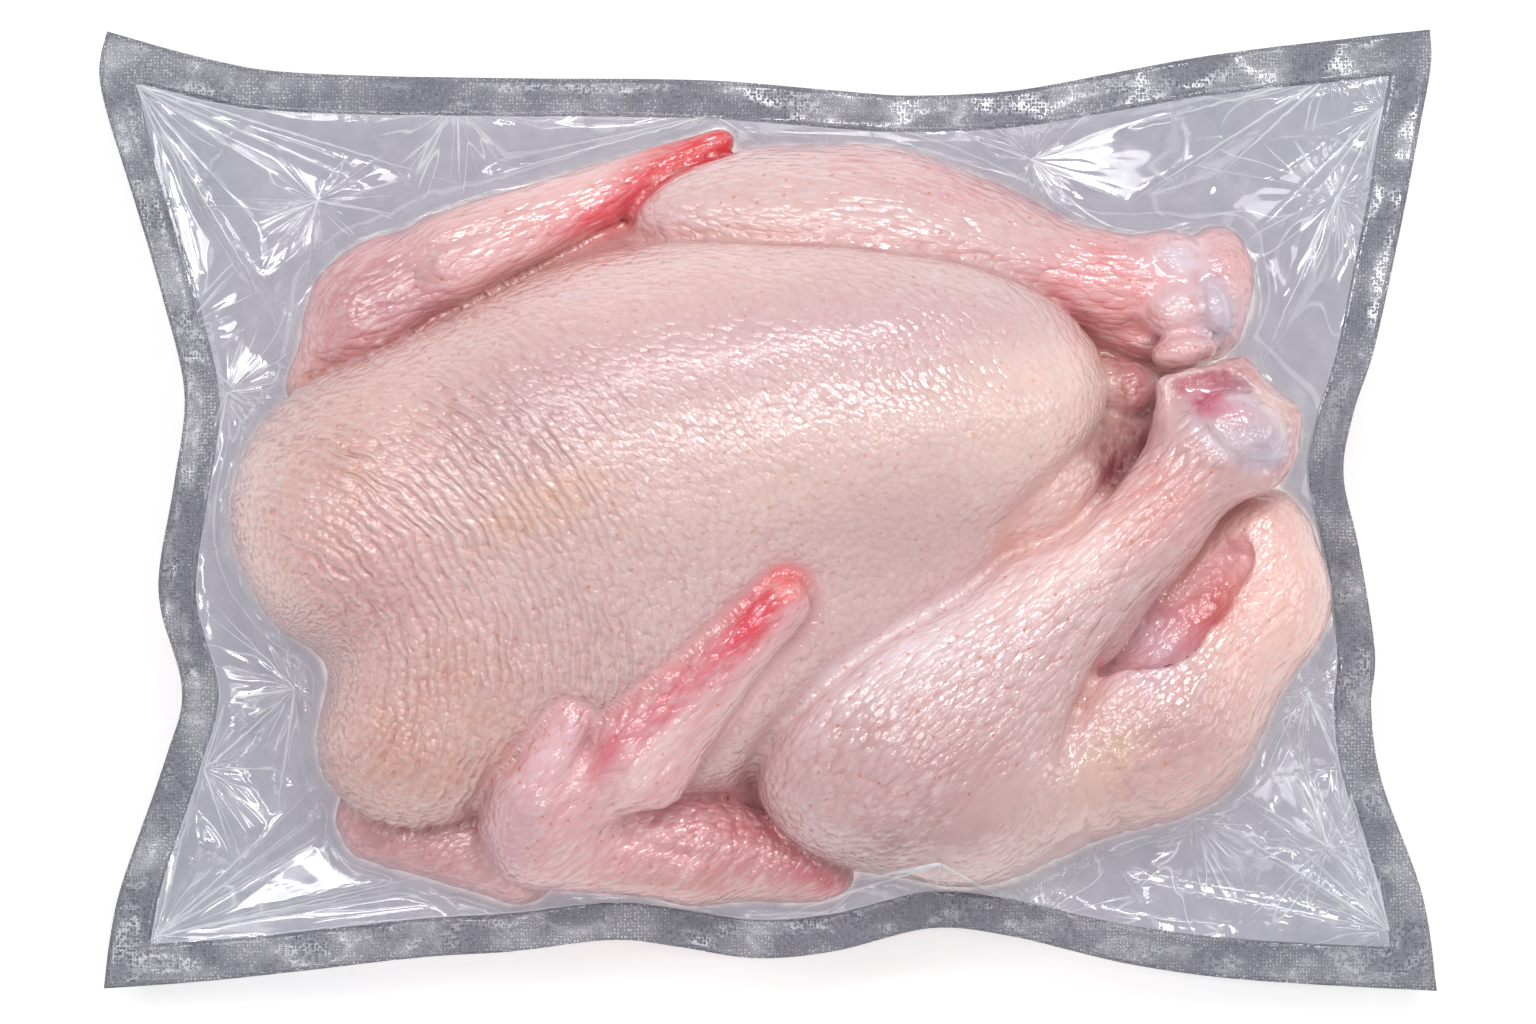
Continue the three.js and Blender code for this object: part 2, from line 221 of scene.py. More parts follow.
def opening():
    """The body's opening: deepest at its lower rim, rising gently to the tail."""
    long_hollow = ellipsoid((107, -23, 63), (26, 15, 8.5), (37, 0, 35))
    return blend(5, long_hollow, ellipsoid((101, -33, 60), (14, 10, 10)))


def tail_end():
    pelvis = ellipsoid((70, -12, 32), (62, 56, 32), (10, 0, 0))
    belly = ellipsoid((70, 10, 42), (28, 24, 34), (20, 0, 0))
    inside = ellipsoid((96, 34, 26), (26, 32, 22))
    thigh = rod((58, -71, 38), (104, -54, 40), 29, 27)
    fold = rod((104, -54, 40), (132, -24, 42), 27, 17.5)
    tail = rod((132, -24, 42), (131, -8, 46), 17.5, 16)
    whole = blend(12, blend(14, pelvis, belly, inside), blend(12, thigh, fold, tail))
    hollow = opening()

    def opened(p):
        # The rim is crisp below and soft above
        above = (p[:, 1] + 23) * 0.8 - (p[:, 0] - 107) * 0.6
        return -smooth_min(-whole(p), hollow(p), 1.5 + 9 * smoothstep(above, -2, 10))

    return opened


def vent():
    return blend(3, rod((84, 36, 50), (98, 33, 54), 9, 8.5), rod((84, 20, 34), (102, 16, 36), 10, 9))


def near_leg():
    drumstick = ellipsoid((40, -60, 46), (47.5, 38.5, 35), (12, 0, 6))
    taper = rod((46, -53, 48), (101, -4, 60), 34, 13)
    shank = rod((101, -4, 60), (118, 16, 63), 13, 16)
    return blend(12, drumstick, taper, shank)


def near_hollow():
    return ellipsoid((118, 27.5, 82), (18, 14, 15.5), (-28, 0, 0))


def near_hock():
    knob = ellipsoid((122.5, 22.5, 62), (20.5, 17, 17.5), (-30, 0, 0))
    collar = blend(3, rod((108, 34, 66), (126, 36, 66), 5, 5.5), rod((137, 24, 66), (133, 11, 66), 6, 5.5))
    flap = rod((131, 9.5, 67), (114, 7, 66), 5.5, 6)
    return blend(2, carve(1.6, blend(3, knob, collar), near_hollow()), flap)


def near_joint():
    return ellipsoid((125.5, 21.2, 71), (13.5, 11.3, 10.5), (-20, 0, 0))


def far_leg():
    drumstick = ellipsoid((20, 71, 45), (63, 27, 33), (-7, 0, 0))
    taper = rod((30, 69, 46), (88, 62, 50), 27, 11.5)
    shank = rod((88, 62, 50), (110, 61, 52), 11.5, 13.5)
    tendon = rod((78, 57, 42), (101, 47, 47), 9.5, 8)
    return blend(3, blend(10, drumstick, taper, shank), tendon)


def far_hock():
    rim = ellipsoid((119.5, 58.5, 50), (11.5, 18.5, 15), (-6, 0, 0))
    upper = ellipsoid((109, 67, 55), (12, 8, 11), (-20, 0, 0))
    lower = ellipsoid((110.5, 54.5, 58), (11, 8.5, 10.5), (10, 0, 0))
    strap = ellipsoid((111.5, 42.3, 61), (9.8, 6.2, 8), (12, 0, 0))
    return blend(1.5, blend(2.5, rim, upper, lower), strap)


def far_joint():
    return ellipsoid((119.5, 55, 61), (5, 8.5, 8.5), (15, 0, 0))


def near_hand():
    bones = rod((-38, -58, 67), (4.5, -21.5, 86), 10.5, 7.2)
    sheet = rod((-34, -65, 66), (5, -25.5, 83.5), 9, 5.5)
    edge = rod((-28, -72, 64), (3, -30.5, 81), 6, 4)
    wrist = ellipsoid((-60, -80, 49), (19, 19, 16), (30, 0, 0))
    palm = rod((-58, -76, 54), (-36, -68, 62), 15, 11)
    return blend(8, blend(7, bones, sheet, edge), blend(8, palm, wrist))


def near_forearm():
    elbow_half = rod((-62, -86, 42), (-20, -90.5, 38), 16.5, 15)
    return blend(6, elbow_half, rod((-20, -90.5, 38), (13, -94.5, 34), 15, 12))


def near_wing():
    limb = blend(2, blend(5, near_hand(), near_forearm()), rod((-104, -82, 30), (-68, -94, 30), 14, 13))
    thumb = rod((-62, -74, 58), (-52.5, -54.8, 72), 13, 6.2)
    # The thumb's root runs into the wrist
    return lambda p: seam(limb(p), thumb(p), 4, 1.4 * smoothstep(p[:, 1], -72, -60), 1.5)


def far_wing():
    wrist = ellipsoid((-104, 56, 52), (21, 17, 16), (40, 0, 0))
    hand = rod((-84, 67, 58), (-13, 98.2, 47), 14.6, 5.4)
    forearm = rod((-108, 50, 48), (-120, 32, 42), 15, 11)
    return blend(8, wrist, hand, forearm)


PARTS = {
    "torso": torso(), "tail": tail_end(), "vent": vent(), "far_leg": far_leg(), "far_hock": far_hock(),
    "near_leg": near_leg(), "near_hock": near_hock(), "near_joint": near_joint(), "far_joint": far_joint(),
    "near_wing": near_wing(), "far_wing": far_wing(),
}
# Parts of the bird that touch, with a crease between them
TOUCHING = [
    ("torso",), ("tail", "vent"), ("near_wing",), ("far_wing",),
    ("far_leg", "far_hock", "far_joint"), ("near_leg", "near_hock", "near_joint"),
]
# Flesh laid bare by a cut: the part, and the shape of the hollow
BARE = {"opening": ("tail", opening()), "near_hollow": ("near_hock", near_hollow())}


def part_distances(p):
    """Distances from points above the table, to each part and to the whole bird."""
    q = p + np.float32((0, 0, SETTLE))
    parts = {name: field(q) for name, field in PARTS.items()}
    d = seam(parts["torso"], parts["tail"], 5.0, 1.5)
    d = seam(d, parts["vent"], 2.0, 1.0)
    far_knob = seam(parts["far_hock"], parts["far_joint"], 1.2, 0.5, 1.0)
    d = seam(d, seam(parts["far_leg"], far_knob, 4.0, 0.4), 2.0, 2.0)
    joined = smoothstep(q[:, 0], 15, 50) * smoothstep(-q[:, 1], 50, 78)
    near_limb = smooth_min(parts["near_leg"], parts["near_hock"], 5.0)
    near_limb = seam(near_limb, parts["near_joint"], 1.0, 0.6, 1.0)
    d = seam(d, near_limb, 2.0 + 14.0 * joined, 2.6 * (1 - joined))
    d = seam(d, parts["near_wing"], 2.0, 1.2)
    return parts, seam(d, parts["far_wing"], 1.6, 2.0)


def bird_distance(p):
    return part_distances(p)[1]


def surface_normals(p, reach=0.5):
    here = bird_distance(p)
    steps = np.eye(3, dtype=np.float32) * reach
    slope = np.stack([bird_distance(p + step) - here for step in steps], axis=1)
    return here, slope / np.maximum(np.linalg.norm(slope, axis=1, keepdims=True), 1e-9)


def bird_mesh():
    """Points on the bird's skin and the quads between them."""
    cell = VOXEL * BLOCK
    low = np.float32(FIELD_LOW)
    index = np.stack(np.meshgrid(*(np.arange(n) for n in BLOCK_COUNT), indexing="ij"), -1)
    middle = low + (index.reshape(-1, 3) * cell + (cell - VOXEL) / 2).astype(np.float32)
    coarse = bird_distance(middle).reshape(BLOCK_COUNT)
    near = np.argwhere(np.abs(coarse) < NEAR_BAND)
    inner = np.stack(np.meshgrid(*[np.arange(BLOCK)] * 3, indexing="ij"), -1).reshape(-1, 3)
    points = low + ((near[:, None] * BLOCK + inner[None]) * VOXEL).astype(np.float32)
    values = bird_distance(points.reshape(-1, 3)).reshape(-1, BLOCK, BLOCK, BLOCK)
    volume = coarse.astype(np.float32)
    for axis in range(3):
        volume = np.repeat(volume, BLOCK, axis=axis)
    nx, ny, nz = BLOCK_COUNT
    blocks = volume.reshape(nx, BLOCK, ny, BLOCK, nz, BLOCK).transpose(0, 2, 4, 1, 3, 5)
    blocks[near[:, 0], near[:, 1], near[:, 2]] = values
    # The back is pressed flat on the lower film
    heights = low[2] + np.arange(volume.shape[2]) * VOXEL
    volume = np.maximum(volume, (FILM_GAP - heights).astype(np.float32))
    grid = openvdb.FloatGrid()
    grid.copyFromArray(volume)
    found, _, quads = grid.convertToPolygons(0.0, 0.0)
    p = low + found.astype(np.float32) * VOXEL
    for _ in range(3):
        d, n = surface_normals(p, 0.3)
        p = p - np.clip(d, -VOXEL, VOXEL)[:, None] * n * 0.9
        p[:, 2] = np.maximum(p[:, 2], FILM_GAP)
    return p, quads


# Random relief. Each lattice of random numbers is repeated through space.
def noise(p, size, seed):
    """Smooth random values from -1 to 1, with features of about the given size."""
    lattice = np.random.default_rng(seed).uniform(-1, 1, (32, 32, 32)).astype(np.float32)
    q = p / size + 100.0
    whole = np.floor(q).astype(int)
    share = (q - whole).astype(np.float32)
    share = share * share * (3 - 2 * share)
    total = np.zeros(len(p), np.float32)
    for corner in np.ndindex(2, 2, 2):
        weight = np.ones(len(p), np.float32)
        for axis, side in enumerate(corner):
            weight *= share[:, axis] if side else 1 - share[:, axis]
        at = (whole + corner) % 32
        total += weight * lattice[at[:, 0], at[:, 1], at[:, 2]]
    return total


def spot(p, centre, radii, turn=0.0):
    """1 in the middle of an ellipse in plan, falling to 0 a little outside it."""
    a = math.radians(turn)
    x, y = p[:, 0] - centre[0], p[:, 1] - centre[1]
    u = (x * math.cos(a) + y * math.sin(a)) / radii[0]
    v = (y * math.cos(a) - x * math.sin(a)) / radii[1]
    return np.exp(-((u * u + v * v) ** 1.5))


def ridges(phase):
    """Rounded ridges with narrow furrows between them, one for each unit of phase."""
    return 1.0 - np.abs(2.0 * (phase % 1.0) - 1.0) ** 2.5 * 2.0


def part_weights(p):
    """How much each point belongs to each part."""
    parts, whole = part_distances(p)
    weights = {name: np.exp(-np.maximum(d - whole, 0) / 2.0) for name, d in parts.items()}
    for name, (part, hollow) in BARE.items():
        away = np.abs(hollow(p + np.float32((0, 0, SETTLE))))
        weights[name] = weights[part] * (1 - smoothstep(away, 0.5, 1.6))
    sides = np.sort([np.minimum.reduce([parts[k] for k in names]) for names in TOUCHING], axis=0)
    joined = smoothstep(p[:, 0], 15, 50) * smoothstep(-p[:, 1], 46, 60)
    # Painted shade: how much the skin is darkened along the creases where touching parts meet
    weights["crease"] = np.exp(-(((sides[1] - sides[0]) / 3.0) ** 2)) * (1 - joined)
    return weights


# The way each part's skin is streaked: an axis, and how much finer the skin is across it
GRAIN = {
    "near_leg": ((86, 80, 12), 0.4), "near_hock": ((86, 80, 12), 0.7), "far_leg": ((95, -12, 4), 0.4),
    "far_hock": ((95, -12, 4), 0.7), "near_wing": ((42, 38, 16), 0.4), "far_wing": ((70, 31, -11), 0.35),
    "tail": ((30, 34, 0), 0.6), "vent": ((20, -3, 4), 0.7),
}
NOTCH = (-140, -43)
FURROW_PITCH = 5.4


def from_notch(p):
    return np.hypot(p[:, 0] - NOTCH[0], p[:, 1] - NOTCH[1])


def skin_flow(p, weights):
    """Places on the skin, drawn together along its streaks, so that noise read there is streaked.

    With them comes how calm the skin is: 0 on the line where the streaks of two parts meet.
    """
    away = from_notch(p)
    around = np.arctan2(p[:, 1] - NOTCH[1], p[:, 0] - NOTCH[0]) * np.maximum(away, 60)
    flow = np.stack([away, around * 0.8, p[:, 2]], -1)
    calm = np.ones(len(p))
    for part, (axis, share) in GRAIN.items():
        axis = np.float32(axis) / np.linalg.norm(axis)
        drawn = p - (1 - share) * (p @ axis)[:, None] * axis
        flow = np.where((weights[part] > 0.6)[:, None], drawn, flow)
        calm = np.minimum(calm, smoothstep(np.abs(weights[part] - 0.6), 0.06, 0.3))
    return flow.astype(np.float32), calm


def furrow_lines(p, weights, flow):
    """Furrows that curve round the notch in the neck end's side: their phase and how deep they are."""
    away = from_notch(p)
    phase = (away + 2.4 * noise(p, 18, 4) + 0.7 * noise(flow, 6, 5)) / FURROW_PITCH
    depth = weights["torso"] * smoothstep(away, 16, 34) * (1 - smoothstep(away, 80, 150))
    depth *= np.clip(0.8 + 0.7 * noise(p, 14, 6), 0, 1) * smoothstep(p[:, 2], 14, 34)
    return phase, depth


def skin_relief(p, weights, flow):
    """How far the skin stands out from the smooth bird."""
    relief = 0.45 * noise(p, 16, 1) + 0.22 * noise(p, 7, 2) + 0.16 * noise(flow, 2.4, 3)
    phase, depth = furrow_lines(p, weights, flow)
    relief += 0.4 * ridges(phase) * depth
    # Streaks run along the limbs
    streaks = 0.3 * noise(flow, 3.4, 7) + 0.14 * noise(flow, 2.0, 8)
    limbs = np.maximum.reduce([weights[k] for k in ("near_leg", "far_leg", "near_wing", "far_wing", "tail")])
    limbs = limbs * np.where(weights["near_leg"] > 0.6, smoothstep(p[:, 0], 30, 90), 1)
    relief += streaks * limbs
    knobs = weights["near_hock"] + weights["far_hock"]
    relief += (0.5 * noise(p, 4.5, 12) + 0.25 * noise(p, 2.4, 13)) * knobs
    strands = p - 0.75 * (p @ np.float32((0.8, 0.6, 0)))[:, None] * np.float32((0.8, 0.6, 0))
    relief += (0.8 * noise(strands, 4, 14) + 0.3 * noise(strands, 2.2, 15)) * weights["opening"]
    # Feather follicles across the near forearm
    arm_edge, share = line_share(p, (-30, -82), (20, -93))
    steps = ridges(share * 9 + arm_edge * 0.12 + 0.4 * noise(p, 6, 11))
    relief += 0.4 * steps * weights["near_wing"] * np.exp(-((arm_edge / 7) ** 2))
    # Grooves between the bones of both hands
    for wing, start, end, depth in (
        ("far_wing", (-95, 69), (-64, 79), 1.4), ("near_wing", (-38, -66), (2, -31), 1.0),
        ("near_wing", (-46, -60), (-58, -78), 1.0), ("near_wing", (-52, -84), (-10, -96), 0.9),
    ):
        away, share = line_share(p, start, end)
        faded = np.sin(np.pi * np.clip(share, 0, 1))
        relief -= depth * weights[wing] * np.exp(-((away / 1.7) ** 2)) * faded
    # Gathered skin below the drumstick
    fan = np.arctan2(p[:, 1] + 58, p[:, 0] - 84)
    reach = np.hypot(p[:, 0] - 84, p[:, 1] + 58)
    gathered = np.exp(-(((reach - 19) / 15) ** 2)) * smoothstep(-fan, 0.2, 0.8)
    gathered *= np.maximum(weights["tail"], weights["near_leg"]) * smoothstep(p[:, 0] - p[:, 1], 138, 148)
    relief += 0.8 * ridges(fan * 3.4 + 0.3 * noise(p, 8, 10)) * gathered
    return relief


def skin_grit(p, weights):
    """How strong the goose bumps are: low on the joints, strong on the legs and in the furrows."""
    grit = 0.6 + 0.15 * weights["torso"] * (1 - smoothstep(from_notch(p), 70, 170))
    grit += 0.2 * (weights["near_wing"] + weights["far_wing"])
    grit += 0.3 * (weights["near_leg"] + weights["far_leg"])
    return np.where(weights["near_joint"] + weights["far_joint"] > 0.9, 0.4, grit)


# Colours of the skin
def srgb(r, g, b):
    return tuple(((c / 255 + 0.055) / 1.055) ** 2.4 if c > 10 else c / 3295 for c in (r, g, b))


PALE = srgb(222, 186, 186)
PART_TINTS = {
    "near_leg": srgb(220, 182, 185), "far_leg": srgb(232, 194, 196), "near_wing": srgb(232, 176, 182),
    "far_wing": srgb(236, 180, 182), "vent": srgb(190, 112, 112), "tail": srgb(234, 190, 184),
    "near_hock": srgb(212, 152, 154), "far_hock": srgb(234, 188, 194), "opening": srgb(230, 150, 158),
    "near_hollow": srgb(226, 180, 188), "near_joint": srgb(214, 190, 200), "far_joint": srgb(212, 196, 212),
}
# Spots of each part, as fields over the plan: place, size, turn, colour and strength
SPOTS = {
    "torso": [
        ((-60, 28), (44, 12), 20, (208, 168, 174), 0.8),
        ((-30, 62), (60, 14), 12, (236, 194, 190), 0.7),
        ((-104, -12), (34, 30), 0, (238, 202, 200), 0.8),
        ((-100, 26), (26, 18), 30, (236, 196, 190), 0.7),
        ((80, 32), (18, 18), 0, (255, 222, 212), 0.9),
        ((-12, 42), (50, 9), 8, (226, 186, 190), 0.7),
        ((36, 48), (52, 10), 4, (220, 182, 188), 0.8),
        ((68, 24), (30, 22), 12, (246, 212, 202), 0.8),
        ((20, 12), (46, 12), 14, (236, 202, 194), 0.7),
        ((-22, 2), (50, 9), 16, (232, 196, 188), 0.6),
        ((-92, -62), (34, 28), 20, (222, 174, 162), 0.9),
        ((-118, 10), (20, 34), -20, (228, 184, 174), 0.7),
        ((-108, -20), (22, 22), -20, (222, 172, 168), 0.7),
        ((-60, 2), (22, 7), 25, (230, 188, 160), 0.6),
        ((-70, 64), (44, 10), 24, (226, 176, 168), 0.7),
    ],
    "near_wing": [
        ((-5, -30), (17, 5.5), 50, (236, 66, 90), 1.0),
        ((5, -18), (6, 6), 50, (244, 120, 122), 0.9),
        ((-24, -49), (18, 4), 48, (232, 108, 128), 0.8),
        # Painted highlight: a narrow whitish streak along the hand
        ((-4, -46), (20, 3.5), 52, (246, 206, 208), 0.85),
        ((-26, -40), (20, 3), 42, (246, 176, 178), 0.7),
        # Painted highlight: a narrow whitish streak along the hand
        ((-30, -66), (16, 4), 50, (246, 206, 208), 0.8),
        ((-42, -63), (12, 3), 60, (226, 112, 128), 0.8),
        ((-57, -62), (14, 8), 60, (248, 200, 210), 0.9),
        ((-70, -82), (12, 14), 0, (218, 174, 184), 0.7),
        ((-20, -102), (40, 5), -8, (226, 178, 172), 0.7),
        ((0, -88), (24, 9), -10, (204, 122, 128), 0.8),
        ((-10, -94), (34, 12), -6, (206, 132, 134), 0.5),
        ((18, -96), (10, 8), 0, (216, 112, 124), 0.8),
        ((-96, -88), (26, 12), -15, (196, 142, 147), 0.8),
    ],
    "far_wing": [
        ((-20, 95), (26, 9), 24, (236, 44, 62), 1.0),
        ((-13, 98), (12, 6), 24, (238, 30, 50), 0.9),
        ((-42, 80), (18, 5), 24, (232, 88, 102), 0.9),
        # Painted highlight: a narrow whitish streak along the hand
        ((-58, 86), (26, 5), 24, (248, 204, 202), 0.85),
        ((-70, 76), (24, 3), 20, (246, 176, 178), 0.7),
        ((-80, 72), (26, 6), 30, (230, 184, 184), 0.7),
        ((-105, 56), (20, 17), 30, (200, 140, 150), 0.8),
    ],
    "near_leg": [
        # Painted highlight: the pale patch on top of the drumstick
        ((32, -36), (36, 14), 32, (244, 226, 232), 0.95),
        ((80, -12), (26, 9), 36, (248, 214, 212), 0.9),
        ((40, -66), (34, 22), 10, (206, 162, 166), 0.7),
        # Painted shade: the dark band along the drumstick's bottom
        ((50, -92), (50, 13), 10, (180, 136, 138), 0.85),
        ((104, 0), (16, 12), 45, (232, 166, 162), 0.8),
    ],
    "tail": [
        ((100, -62), (30, 16), 20, (208, 164, 164), 0.8),
        ((122, -24), (8, 6), 50, (206, 40, 56), 0.95),
        ((102, -38), (10, 12), 0, (226, 184, 198), 0.9),
        ((112, -18), (8, 6), 30, (236, 180, 176), 0.6),
        ((138, -28), (16, 28), 0, (255, 208, 198), 0.85),
        ((88, -70), (7, 16), -40, (236, 204, 176), 0.5),
        ((96, 14), (12, 12), 0, (150, 70, 80), 0.8),
    ],
    "far_leg": [
        ((60, 86), (60, 7), -12, (222, 158, 162), 0.7),
        ((92, 58), (22, 16), 0, (238, 150, 152), 0.8),
        ((0, 82), (26, 10), 0, (232, 196, 192), 0.7),
    ],
    "near_joint": [
        ((121, 28), (8, 4), -25, (222, 164, 180), 0.8),
        ((133, 17), (7, 6), -35, (196, 186, 208), 0.8),
        ((116, 30), (6, 5), -25, (206, 84, 124), 0.9),
        ((120, 17), (6, 4), -25, (222, 206, 212), 0.8),
    ],
    "near_hollow": [
        ((114.5, 31), (10, 9), 0, (190, 66, 100), 1.0),
    ],
    "near_hock": [
        ((135, 28), (7, 12), -20, (234, 200, 194), 0.8),
        ((112, 6), (14, 9), 30, (188, 106, 112), 0.85),
        ((114, 40), (12, 3.5), 20, (238, 212, 212), 0.8),
        ((106, 30), (4, 9), 0, (236, 206, 206), 0.7),
        ((124, 7), (12, 3.5), 0, (232, 196, 188), 0.7),
    ],
    "far_hock": [
        ((109, 67), (8, 5), 10, (234, 214, 226), 0.9),
        ((110, 56), (8, 6), 0, (238, 204, 210), 0.8),
        ((126, 66), (6, 10), 0, (236, 180, 182), 0.8),
        ((109, 42), (9, 6), 0, (234, 184, 184), 0.8),
    ],
}
# A darker, redder tint: painted shade in the creases between parts and along the furrow bottoms, and the real
# mottles on the cut ends
SHADE_AND_MOTTLE_TINT = np.float32((0.72, 0.5, 0.46))


def skin_colours(p, weights, flow):
    colour = np.tile(np.float32(PALE), (len(p), 1))
    for part, tint in PART_TINTS.items():
        w = weights[part][:, None]
        colour = colour * (1 - w) + np.float32(tint) * w
    upward = smoothstep(p[:, 2], 20, 40)
    ragged = np.clip(1 + 0.4 * noise(flow, 5, 21) + 0.3 * noise(flow, 2.2, 22), 0, 2)
    for part, spots in SPOTS.items():
        for centre, radii, turn, tint, strength in spots:
            w = spot(p, centre, radii, turn) * weights[part] * upward * strength * ragged
            w = w.clip(0, 1)[:, None]
            colour = colour * (1 - w) + np.float32(srgb(*tint)) * w
    # Painted shade along the furrow bottoms and in the creases between parts, with the real mottles of the
    # cut ends, all toward the darker tint
    phase, depth = furrow_lines(p, weights, flow)
    line = (np.abs(phase % 1.0 - 0.5) * 2) ** 8 * depth
    cut_ends = np.maximum.reduce([weights[k] for k in ("near_joint", "near_hock", "far_hock", "near_hollow")])
    mottles = smoothstep(noise(p, 2.2, 23), 0.15, 0.6) * cut_ends
    pink_and_shade = np.clip(0.3 * line + 0.33 * weights["crease"] + 0.35 * mottles, 0, 1)[:, None]
    return colour * (1 - pink_and_shade * (1 - SHADE_AND_MOTTLE_TINT))


# The bag's films
def spline(points):
    """Evenly spaced places on a smooth curve through the points, by their share of its length."""
    pts = np.array(points, float)
    padded = np.vstack([pts[0], pts, pts[-1]])
    dense = []
    t = np.linspace(0, 1, 24, endpoint=False)[:, None]
    for a, b, c, d in zip(padded, padded[1:], padded[2:], padded[3:]):
        v0, v1 = (c - a) / 2, (d - b) / 2
        dense.append((2 * b - 2 * c + v0 + v1) * t**3 + (-3 * b + 3 * c - 2 * v0 - v1) * t**2 + v0 * t + b)
    dense = np.vstack(dense + [pts[-1:]])
    run = np.concatenate([[0], np.cumsum(np.linalg.norm(np.diff(dense, axis=0), axis=1))])
    return lambda s: np.stack([np.interp(s * run[-1], run, dense[:, k]) for k in (0, 1)], -1)


def bag_plan(u, v):
    """The bag in plan: a patch between its four edges."""
    top, bottom, left, right = (spline(e) for e in (TOP_EDGE, BOTTOM_EDGE, LEFT_EDGE, RIGHT_EDGE))
    across = top(u)[None] * v[:, None, None] + bottom(u)[None] * (1 - v)[:, None, None]
    along = right(v)[:, None] * u[None, :, None] + left(v)[:, None] * (1 - u)[None, :, None]
    corners = np.array([BOTTOM_EDGE[0], BOTTOM_EDGE[-1], TOP_EDGE[0], TOP_EDGE[-1]], float)
    shares = [np.outer(1 - v, 1 - u), np.outer(1 - v, u), np.outer(v, 1 - u), np.outer(v, u)]
    flat = sum(s[:, :, None] * c for s, c in zip(shares, corners))
    return across + along - flat


def neighbours(z):
    padded = np.pad(z, 1, mode="edge")
    return padded[:-2, 1:-1], padded[2:, 1:-1], padded[1:-1, :-2], padded[1:-1, 2:]


def mean_of_neighbours(z):
    return sum(neighbours(z)) / 4


def bird_heights(x, y):
    """The bird's highest and lowest point over each place, and whether there is any."""
    start = np.stack([x.ravel(), y.ravel(), np.full(x.size, 112.0)], -1).astype(np.float32)

    def march(p, way, end):
        p = p.copy()
        alive = np.arange(len(p))
        hit = np.zeros(len(p), bool)
        for _ in range(140):
            d = bird_distance(p[alive])
            touching = d < 0.05
            hit[alive[touching]] = True
            alive, d = alive[~touching], d[~touching]
            p[alive, 2] += way * np.maximum(d, 0.05) * 0.85
            alive = alive[(end - p[alive, 2]) * way > 0]
            if not len(alive):
                break
        return p[:, 2], hit

    top, hit = march(start, -1, 0.0)
    below = start[hit]
    below[:, 2] = -SETTLE
    back = np.zeros(len(start))
    back[hit] = march(below, 1, 112.0)[0]
    return top.reshape(x.shape), np.maximum(back, 0).reshape(x.shape), hit.reshape(x.shape)


class FilmGrid:
    """Places over the bag's plan, with their inset from its edges and the bird's heights there."""

    def __init__(self, cell):
        self.cell = cell
        self.u = np.linspace(0, 1, round(BAG_LENGTH / cell) + 1)
        self.v = np.linspace(0, 1, round(BAG_DEPTH / cell) + 1)
        plan = bag_plan(self.u, self.v)
        self.x, self.y = plan[..., 0], plan[..., 1]
        self.inset_x = np.minimum(self.u, 1 - self.u)[None, :] * BAG_LENGTH + 0 * self.x
        self.inset_y = np.minimum(self.v, 1 - self.v)[:, None] * BAG_DEPTH + 0 * self.x
        self.inset = np.minimum(self.inset_x, self.inset_y)
        self.sealed = self.inset <= SEAL_WIDTH + 0.01
        self.top, self.back, hit = bird_heights(self.x, self.y)
        self.bird = hit & ~self.sealed


def seal_rest(grid):
    drop = CORNER_DROP * (1 - smoothstep(np.hypot(grid.inset_x, grid.inset_y), 0, CORNER_REACH))
    run = np.where(grid.inset_x < grid.inset_y, grid.y, grid.x)
    return SEAL_HEIGHT - drop + WAVE_HEIGHT * np.sin(2 * np.pi * run / WAVE_LENGTH)


def web_heights():
    """Height of the middle of the two films, from the bird's sides to the seal, which they lift."""
    grid = FilmGrid(WEB_CELL)
    rest = seal_rest(grid)
    z = np.where(grid.bird, (grid.top + grid.back) / 2, rest)
    for _ in range(WEB_STEPS):
        mean = mean_of_neighbours(z)
        on_bird = np.clip(mean, grid.back, grid.top)
        z = np.where(grid.sealed, mean + (rest - mean) * SEAL_HOLD, np.where(grid.bird, on_bird, mean))
    return grid, z


def resample(grid, z, target):
    """Heights of one grid read at the places of another."""
    iu = target.u * (len(grid.u) - 1)
    iv = target.v * (len(grid.v) - 1)
    u0 = np.minimum(iu.astype(int), len(grid.u) - 2)
    v0 = np.minimum(iv.astype(int), len(grid.v) - 2)
    fu, fv = (iu - u0)[None, :], (iv - v0)[:, None]
    low = z[v0][:, u0] * (1 - fu) + z[v0][:, u0 + 1] * fu
    high = z[v0 + 1][:, u0] * (1 - fu) + z[v0 + 1][:, u0 + 1] * fu
    return low * (1 - fv) + high * fv


